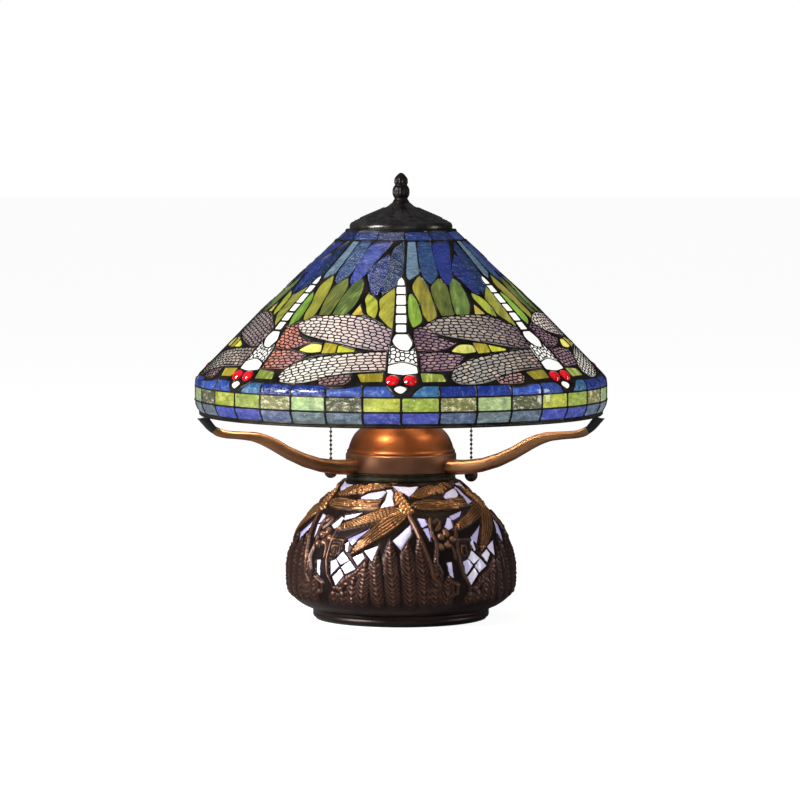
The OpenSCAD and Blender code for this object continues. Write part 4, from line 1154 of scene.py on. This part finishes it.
# --- Shade: border ------------------------------------------------------------------------
# Three rows of tiles round the skirt: cornflower and cobalt above, mottled green and cream
# in the middle, violet and grey ripple glass below. [degrees, mm down from the skirt's top]
tile_angle = repeat_angle / 5
tile_gap = 0.42


def tile_outline(number, top, bottom):
    start = number * tile_angle + tile_gap
    end = (number + 1) * tile_angle - tile_gap
    return [(start, top), (start + tile_angle / 3, top), (end - tile_angle / 3, top),
            (end, top), (end, bottom), (start, bottom)]


top_tiles = [tile_outline(n, 1.0, 11.6) for n in range(-2, 3)]
top_tiles[1] = [(-9.9, 1.0), (-7, 0.6), (-4.0, 0.8), (-2.1, 11.6), (-9.9, 11.6)]
top_tiles[2] = [(6.0, 0.8), (9.9, 0.8), (9.9, 11.6), (2.9, 11.6)]
top_tiles[0] = [(-20.1, 4.6), (-15, 3.6), (-12, 1.0), (-10.8, 1.4), (-10.8, 11.6),
                (-20.1, 11.6)]
middle_tiles = [tile_outline(n, 13.8, 25.4) for n in range(-2, 3)]
bottom_tiles = [tile_outline(n, 27.8, 38.4) for n in range(-2, 3)]
border_blue = streaky_glass("border_blue_glass", 0.5, 0.95, 0.7, 0.0014, (120, 160, 215))
border_green = streaky_glass("border_green_glass", 1.8, 1.0, 0.84, 0.0014, (224, 222, 178))
border_violet = streaky_glass("border_violet_glass", 1.8, 1.0, 0.78, 0.0014, (150, 170, 200))
glass_piece("top_border_panes", top_tiles,
            [(62, 98, 196), (60, 96, 190), (66, 124, 176), (28, 54, 148), (26, 58, 160)],
            [0.4, 0.3, 0.5, 0.3, 0.3], border_blue, "border_blue", "border_top", skirt_flat,
            skirt_surface, 12, 0.18, 4.0)
glass_piece("middle_border_panes", middle_tiles,
            [(96, 96, 72), (196, 202, 70), (172, 192, 76), (138, 138, 84), (180, 204, 140)],
            [0.9, 0.3, 0.3, 1.0, 0.5], border_green, "border_green", "border_middle",
            skirt_flat, skirt_surface, 13, 0.15, 4.0)
glass_piece("bottom_border_panes", bottom_tiles,
            [(104, 120, 134), (70, 80, 178), (78, 88, 190), (92, 108, 140), (120, 136, 140)],
            [0.5, 0.3, 0.2, 0.5, 0.6], border_violet, "border_violet", "border_bottom",
            skirt_flat, skirt_surface, 14, 0.15, 4.0)

# --- Shade: leading -----------------------------------------------------------------------
# Solder run over the copper foil between the panes, standing in a rounded bead and darkened
# with a black patina: one web over the cone and one round the skirt. The rim wire and the
# ring at the crown are soldered to it.
bead_half = 1.7
bead_height = 0.95
lead_depth = 2.6
crown_edge = 53.5
edge_steps = 110


def lead_web(domain, panes, spacing):
    """One repeat of the web: the domain less its panes, as points, faces and bead height."""
    corners = anticlockwise(domain)
    rings = [list(range(len(domain)))]
    for pane in panes:
        rings.append(list(range(len(corners), len(corners) + len(pane))))
        corners = corners + anticlockwise(pane)
    low = np.min(domain, axis=0)
    high = np.max(domain, axis=0)
    grid = np.mgrid[low[0]:high[0]:spacing, low[1]:high[1]:spacing].reshape(2, -1)
    grid[0] += (np.arange(grid.shape[1]) % 2) * spacing / 2
    grid = grid[:, signed_reach(grid[0], grid[1], list(domain)) < -0.5 * spacing]
    near = np.full(grid.shape[1], 1e9)
    for pane in panes:
        near = np.minimum(near, signed_reach(grid[0], grid[1], pane))
    grid = grid[:, near > 0.45 * spacing]
    made = delaunay_2d_cdt([Vector(p) for p in corners] + [Vector(p) for p in grid.T], [],
                           rings, 1, 1e-4)
    points = np.array([tuple(v) for v in made[0]])
    faces = [tuple(face) for face, source in zip(made[2], made[5]) if list(source) == [0]]
    used = sorted({i for face in faces for i in face})
    renumber = {old: new for new, old in enumerate(used)}
    points = points[used]
    faces = [tuple(renumber[i] for i in face) for face in faces]
    near = np.full(len(points), 1e9)
    for pane in panes:
        near = np.minimum(near, np.abs(signed_reach(points[:, 0], points[:, 1], pane)))
    part = np.clip(near / bead_half, 0, 1)
    return points, faces, bead_height * (1 - np.sqrt(1 - (1 - part) ** 2))


def lead_piece(name, domain, panes, surface, spacing, node):
    flat, faces, depth = lead_web(domain, panes, spacing)
    points = []
    every = []
    count = 0
    for k in range(repeats):
        front = surface(flat, k * repeat_angle, depth)
        back = surface(flat, k * repeat_angle, np.full(len(flat), lead_depth))
        shape = slab(front, back, faces)
        points.append(shape[0])
        every += [tuple(i + count for i in face) for face in shape[1]]
        count += len(shape[0])
    return make_piece(name, (np.concatenate(points), every), solder, "shade", "lead", [node],
                      55)


solder = Finish("patinated_solder", {"Metallic": 0.75})
solder_place = solder.place()
solder_cloud = solder.steps(solder.noise(solder_place, 60.0, 4.0), 0.35, 0.7)
solder_lump = solder.noise(solder_place, 420.0, 3.0)
solder.feed({"Base Color": solder.mix(solder_cloud, tone(28, 27, 25), tone(64, 60, 54)),
             "Roughness": 0.28 + solder_lump * 0.25})
solder.bump(solder_lump, 0.0005, 0.6)

dress(solder, "crown_ring", "rim_wire")

half_turn = repeat_angle / 2
cone_outlines = (crown_panes + blue_leaves + green_leaves + tail_pieces
                 + [thorax, bow_tie, head] + front_wings + rear_wings + gap_pieces)
eye_outlines = []
for deg in eye_degrees:
    x, y = cone_flat([(deg, eye_plan_radius)])[0]
    eye_outlines.append([(x + eye_radius * math.cos(a), y + eye_radius * math.sin(a))
                         for a in np.linspace(0, 2 * math.pi, 25)[:-1]])


def flat_turn(flat, degrees):
    angle = math.radians(degrees) * mean_slope
    c, s = math.cos(angle), math.sin(angle)
    return [(x * c - y * s, x * s + y * c) for x, y in flat]


web_panes = []
for shift in (-repeat_angle, 0, repeat_angle):
    for flat in [pane_edge(cone_flat(o)) for o in cone_outlines] + eye_outlines:
        moved = flat_turn(flat, shift)
        angles = [math.degrees(math.atan2(x, -y)) / mean_slope for x, y in moved]
        if min(angles) < half_turn and max(angles) > -half_turn:
            web_panes.append(moved)
cone_domain = cone_flat(
    [(-half_turn, r) for r in np.linspace(crown_edge, skirt_top, 90)]
    + [(d, skirt_top) for d in np.linspace(-half_turn, half_turn, edge_steps)[1:-1]]
    + [(half_turn, r) for r in np.linspace(skirt_top, crown_edge, 90)]
    + [(d, crown_edge) for d in np.linspace(half_turn, -half_turn, 30)[1:-1]])
lead_piece("cone_leading", cone_domain, web_panes, cone_surface, 1.5, "leading_cone")
skirt_end = float(skirt_run[-1])
skirt_domain = skirt_flat(
    [(-half_turn, y) for y in np.linspace(0, skirt_end, 26)]
    + [(d, skirt_end) for d in np.linspace(-half_turn, half_turn, edge_steps)[1:-1]]
    + [(half_turn, y) for y in np.linspace(skirt_end, 0, 26)]
    + [(d, 0) for d in np.linspace(half_turn, -half_turn, edge_steps)[1:-1]])
skirt_panes = []
for shift in (-repeat_angle, 0, repeat_angle):
    for outline in top_tiles + middle_tiles + bottom_tiles + [chin]:
        moved = [(deg + shift, down) for deg, down in outline]
        if min(moved)[0] < half_turn and max(moved)[0] > -half_turn:
            skirt_panes.append(pane_edge(skirt_flat(moved)))
lead_piece("skirt_leading", skirt_domain, skirt_panes, skirt_surface, 1.6, "leading_skirt")

# --- Shade: filigree ----------------------------------------------------------------------
# A pierced brass net over the wings and the bow between thorax and head, etched in cells
# along each wing and soldered down at its edge.
net_wire = 1.4


def clipped(polygon, px, py, nx, ny):
    """The part of a polygon on the far side of a line through (px, py) from its normal."""
    kept = []
    for k, here in enumerate(polygon):
        before = polygon[k - 1]
        side_here = (here[0] - px) * nx + (here[1] - py) * ny
        side_before = (before[0] - px) * nx + (before[1] - py) * ny
        if (side_here <= 0) != (side_before <= 0):
            t = side_before / (side_before - side_here)
            kept.append((before[0] + (here[0] - before[0]) * t,
                         before[1] + (here[1] - before[1]) * t))
        if side_here <= 0:
            kept.append(here)
    return kept


def net_cells(flat, lean, long, short, seed, jitter=0.2):
    """Cells of a net over an outline, long with the lean: each with its smaller opening."""
    draw = random.Random(seed)
    cosine, sine = math.cos(lean), math.sin(lean)
    squeeze = 1.1 * short / long
    flow = [((x * cosine + y * sine) * squeeze, -x * sine + y * cosine) for x, y in flat]
    low = np.min(flow, axis=0)
    high = np.max(flow, axis=0)
    step = long * squeeze
    sites = []
    row = 0
    y = low[1] - short
    while y < high[1] + short:
        x = low[0] - step + (row % 2) * step / 2
        while x < high[0] + step:
            sites.append((x + draw.uniform(-jitter, jitter) * step,
                          y + draw.uniform(-jitter, jitter) * short))
            x += step * draw.uniform(0.75, 1.25)
        y += short
        row += 1
    sites = np.array(sites)
    near = signed_reach(sites[:, 0], sites[:, 1], flow)
    cells = []
    for site in sites[near < 0.5 * short]:
        gaps = np.hypot(*(sites - site).T)
        cell = flow
        for other in sites[np.argsort(gaps)[1:15]]:
            cell = clipped(cell, (site[0] + other[0]) / 2, (site[1] + other[1]) / 2,
                           other[0] - site[0], other[1] - site[1])
            if len(cell) < 3:
                break
        cell = [p for k, p in enumerate(cell)
                if math.hypot(p[0] - cell[k - 1][0], p[1] - cell[k - 1][1]) > 0.2]
        if len(cell) < 3:
            continue
        rim = np.array(cell) / (squeeze, 1)
        middle = rim.mean(axis=0)
        half = np.maximum((rim.max(axis=0) - rim.min(axis=0)) / 2, 0.01)
        opening = middle + (rim - middle) * np.clip(1 - 0.5 * net_wire / half, 0.12, 1)
        back = np.array([[cosine, sine], [-sine, cosine]])
        cells.append(((rim @ back).tolist(), (opening @ back).tolist()))
    return cells


def net_over(flat, lean, long, short, seed):
    """Points and depths of a net: each cell a ring from its edge to its opening."""
    points = []
    depths = []
    faces = []
    for rim, opening in net_cells(pane_edge(flat), lean, long, short, seed):
        start = len(points)
        size = len(rim)
        for ring, depth in ((rim, 0.2), (opening, 0.55), (opening, 1.2)):
            points += ring
            depths += [depth] * size
        for level in (0, 1):
            for k in range(size):
                a = start + level * size + k
                b = start + level * size + (k + 1) % size
                faces.append((a, b, b + size, a + size))
    return np.array(points), np.array(depths), faces


nets = []
for outline, root, tip, long, short, seed in (
        (front_wings[0], (-3.5, 158), (-40, 147), 7.0, 3.7, 21),
        (front_wings[1], (-4.6, 177), (-36, 190), 7.6, 3.6, 22),
        (rear_wings[0], (4.5, 158), (17, 163), 7.0, 3.5, 23),
        (rear_wings[1], (6, 177), (19, 175), 7.0, 3.5, 24),
        (rear_wings[2], (28, 195), (37, 191), 6.0, 3.3, 25),
        (bow_tie, (0.5, 165), (0.5, 180), 5.4, 4.4, 26)):
    (ax, ay), (bx, by) = cone_flat([root, tip])
    lean = math.atan2(by - ay, bx - ax)
    nets.append(net_over(cone_flat(outline), lean, long, short, seed))
net_points = []
net_faces = []
net_count = 0
for k in range(repeats):
    for flat, depth, faces in nets:
        net_points.append(cone_surface(flat, k * repeat_angle, depth))
        net_faces += [tuple(i + net_count for i in face) for face in faces]
        net_count += len(flat)
net_metal = metal("filigree_metal", tone(12, 10, 10), tone(40, 34, 32), 0.38, 120,
                  grain=0.0001, metallic=0.7)
make_piece("wing_net", (np.concatenate(net_points), net_faces), net_metal, "shade", "lead",
           ["wing_filigree"], 70)

# --- Eyes ---------------------------------------------------------------------------------
# Domed ruby jewels, pressed glass, set in rings of solder.
ruby = Finish("ruby_glass", {"Roughness": 0.04, "Coat Weight": 1.0, "Emission Strength": 1.0})
ruby_place = ruby.place()
ruby_cloud = ruby.steps(ruby.noise(ruby_place, 260.0, 3.0), 0.3, 0.75)
ruby_colour = ruby.mix(ruby_cloud, tone(120, 2, 10), tone(225, 18, 30))
ruby.feed({"Base Color": ruby_colour, "Emission Color": ruby_colour})
ruby.bump(ruby_cloud, 0.0002)
dress(ruby, "eye_jewels")

# --- Cap ----------------------------------------------------------------------------------
# Spun brass cap, pressed with leaves and with pits between them, patinated nearly black,
# with two turned lines above its drooping edge. It rests on the crown ring.
cap_points = [(8.8, 408), (13.2, 404.4), (21.6, 400.5), (30.9, 396.6), (39.7, 392.7),
              (46.4, 389.7), (49.2, 388.3), (50.4, 386.2), (50.7, 384.2), (50.3, 382.1)]
cap_rows = 60
cap_columns = 360
cap_run, cap_line = even_line(cap_points, cap_rows, 2.0)
cap_turn, cap_down = np.meshgrid(np.arange(cap_columns) * 360 / cap_columns, cap_run)
leaf_count = 12
leaf_angle = 360 / leaf_count


def cap_lift():
    """Pressed height of the cap, and how deep in shade each place lies."""
    local = (cap_turn + leaf_angle / 2) % leaf_angle - leaf_angle / 2
    x = np.radians(local) * np.interp(cap_down, cap_run, cap_line[:, 0])
    height = np.zeros(x.shape)
    shade = np.zeros(x.shape)
    leaf = np.clip((cap_down - 9) / 26, 0, 1)
    half = 8.4 * np.sin(math.pi * leaf) ** 0.7 * (0.4 + 0.6 * leaf) + 0.01
    inside = (np.abs(x) < half) & (leaf > 0) & (leaf < 1)
    vein = np.exp(-(x / 0.7) ** 2) + 0.5 * (0.5 + 0.5 * np.cos((cap_down - np.abs(x)) * 2.1))
    height = np.where(inside, 0.5 * np.sqrt(np.clip(1 - (x / half) ** 2, 0, 1)) + 0.3 * vein,
                      height)
    edge = (cap_turn % leaf_angle - leaf_angle / 2) * math.pi / 180
    side = edge * np.interp(cap_down, cap_run, cap_line[:, 0])
    for down, size in ((16.5, 1.5), (22.5, 2.0), (29.5, 2.6)):
        pit = np.clip(1 - np.hypot(side, cap_down - down) / size, 0, 1)
        height -= 1.1 * np.sqrt(pit)
        shade = np.maximum(shade, np.clip(pit * 4, 0, 1))
    for down in (37.2, 40.2):
        ring = np.clip(1 - np.abs(cap_down - down) / 0.9, 0, 1)
        height = np.maximum(height, 0.5 * np.sqrt(ring))
    height = np.where(cap_down > cap_run[-1] - 3, 0, height)
    height = np.where(cap_down < 4, 0, height)
    return height - 0.15, shade


cap_height, cap_shade = cap_lift()
cap_inside = [(48.8, 382), (49.2, 384.2), (47.7, 387), (39.1, 390.8), (30.3, 394.7),
              (21, 398.6), (12.4, 402.4), (8, 405.4), (5.3, 405.6), (5.3, 408)]
# painted shade: the pits are darkened by how deep in shade they lie
cap_pit_shade = np.concatenate([np.repeat((1 - cap_shade.reshape(-1, 1)), 4, axis=1),
                           np.ones((len(cap_inside) * cap_columns, 4))])
cap_metal = Finish("cap_patina", {"Metallic": 0.8})
cap_place = cap_metal.place()
cap_cloud = cap_metal.steps(cap_metal.noise(cap_place, 90.0, 4.0), 0.3, 0.7)
cap_grit = cap_metal.noise(cap_place, 800.0, 3.0)
cap_colour = cap_metal.mix(cap_cloud, tone(40, 38, 37), tone(96, 92, 90))
cap_metal.feed({"Base Color": cap_metal.mix(1.0, cap_colour, cap_metal.attribute("tint"),
                                            "MULTIPLY"),
                "Roughness": 0.2 + cap_grit * 0.14})
cap_metal.bump(cap_grit, 0.0001)
make_piece("cap_pressed", turned(cap_line, cap_inside, cap_columns, cap_height), cap_metal,
           "cap", "cap_bronze", ["vase_cap"], 60, tint=("FLOAT_COLOR", cap_pit_shade))

# --- Finial -------------------------------------------------------------------------------
# Cast finial that screws on the top of the riser: a flared foot, a ball with scrolled lobes,
# a second ring of buds and a pointed top.
finial_points = [(0.01, 437), (1.4, 436.7), (2.8, 435.9), (4, 434.6), (5.2, 433.2), (6, 432.2),
                 (6.8, 430.6), (7.2, 428), (6.6, 426), (5.9, 425), (6.6, 424), (7.6, 422.8),
                 (8.6, 420.4), (8.8, 417.4), (8.2, 414.8), (6.8, 412.6), (6.3, 411.8),
                 (6.7, 410.8), (7.4, 410), (8, 409), (8.4, 408)]
finial_rows = 90
finial_columns = 120
_, finial_line = even_line(finial_points, finial_rows, 0.8)
finial_turn, finial_level = np.meshgrid(np.arange(finial_columns) * 360 / finial_columns,
                                        finial_line[:, 1])
lobes = np.cos(np.radians(finial_turn) * 8)
buds = np.cos(np.radians(finial_turn) * 6 + 1.0)
belly = np.clip(1 - np.abs(finial_level - 418) / 5.5, 0, 1)
crown = np.clip(1 - np.abs(finial_level - 428.6) / 4, 0, 1)
tip_cone = np.clip((finial_level - 431) / 4, 0, 1) * np.clip((437 - finial_level) / 2, 0, 1)
finial_lift = (belly * (0.9 * np.abs(lobes) - 1.3) * 0.9 + crown * (0.9 * np.abs(buds) - 1.2)
               - 0.35 * tip_cone * np.abs(lobes))
finial_metal = metal("finial_patina", tone(22, 20, 19), tone(58, 52, 50), 0.3, 150,
                     metallic=0.8)
make_piece("finial_cast", turned(finial_line, [(4.75, 408), (4.75, 421.6), (0.01, 421.6)],
                                 finial_columns, finial_lift),
           finial_metal, "finial_knob", "cap_bronze", ["finial"], 60)

# --- Studio -------------------------------------------------------------------------------
# Pale floor and white surround, two soft lights on the left, a weak one in front, a narrow
# one on the right, and the warm light of the bulbs under the shade. Reflections see a dim sky.
floor_finish = Finish("studio_floor", {"Roughness": 0.9, "Specular IOR Level": 0.0})
seen = floor_finish.add("ShaderNodeLightPath", output="Is Camera Ray")
floor_finish.feed({"Base Color": (0.35, 0.35, 0.35, 1),
                   "Emission Color": floor_finish.mix(seen, (0.02, 0.02, 0.02, 1),
                                                      (0.93, 0.93, 0.93, 1)),
                   "Emission Strength": 1.0})
floor_mesh = bpy.data.meshes.new("studio_floor")
reach = 30.0
floor_mesh.from_pydata([(-reach, -reach, 0), (reach, -reach, 0), (reach, reach, 0),
                        (-reach, reach, 0)], [], [(0, 1, 2, 3)])
floor_mesh.materials.append(floor_finish.material)
floor = bpy.data.objects.new("studio_floor", floor_mesh)
bpy.context.scene.collection.objects.link(floor)

world = bpy.data.worlds.new("studio")
bpy.context.scene.world = world
world.use_nodes = True
sky = world.node_tree
backdrop = sky.nodes["Background"]
direction = sky.nodes.new("ShaderNodeTexCoord")
split = sky.nodes.new("ShaderNodeSeparateXYZ")
fade = sky.nodes.new("ShaderNodeValToRGB")
fade.color_ramp.elements[0].position = 0.0
fade.color_ramp.elements[0].color = (0.04, 0.04, 0.045, 1)
fade.color_ramp.elements[1].position = 0.9
fade.color_ramp.elements[1].color = (0.14, 0.14, 0.15, 1)
ray = sky.nodes.new("ShaderNodeLightPath")
choose = sky.nodes.new("ShaderNodeMix")
choose.data_type = "RGBA"
choose.inputs[7].default_value = (1, 1, 1, 1)
sky.links.new(direction.outputs["Generated"], split.inputs[0])
sky.links.new(split.outputs["Z"], fade.inputs["Fac"])
sky.links.new(ray.outputs["Is Camera Ray"], choose.inputs[0])
sky.links.new(fade.outputs["Color"], choose.inputs[6])
sky.links.new(choose.outputs[2], backdrop.inputs["Color"])
backdrop.inputs["Strength"].default_value = 1.0
aim = Vector((0, 0, 0.2))


def soft_light(name, place, width, height, power):
    data = bpy.data.lights.new(name, "AREA")
    data.shape = "RECTANGLE"
    data.size = width
    data.size_y = height
    data.energy = power
    light = bpy.data.objects.new(name, data)
    light.location = place
    light.rotation_euler = (aim - Vector(place)).to_track_quat("-Z", "Y").to_euler()
    bpy.context.scene.collection.objects.link(light)


soft_light("key", (-1.9, -1.4, 1.3), 0.4, 0.4, 60)
soft_light("fill", (0.6, -3.2, 0.9), 1.2, 0.8, 6)
soft_light("side", (2.6, -0.3, 0.6), 0.3, 1.2, 12)
soft_light("left", (-2.4, -1.0, 0.9), 0.35, 0.8, 46)
for place, power in (((-0.048, 0, 0.262), 0.2), ((0.048, 0, 0.262), 0.2),
                     ((-0.08, -0.088, 0.296), 0.8), ((0.1, -0.05, 0.29), 0.12)):
    data = bpy.data.lights.new("bulb_light", "POINT")
    data.energy = power
    data.color = (1.0, 0.84, 0.64)
    data.shadow_soft_size = 0.02
    light = bpy.data.objects.new("bulb_light", data)
    light.location = place
    bpy.context.scene.collection.objects.link(light)
bpy.context.scene.view_settings.view_transform = "Standard"
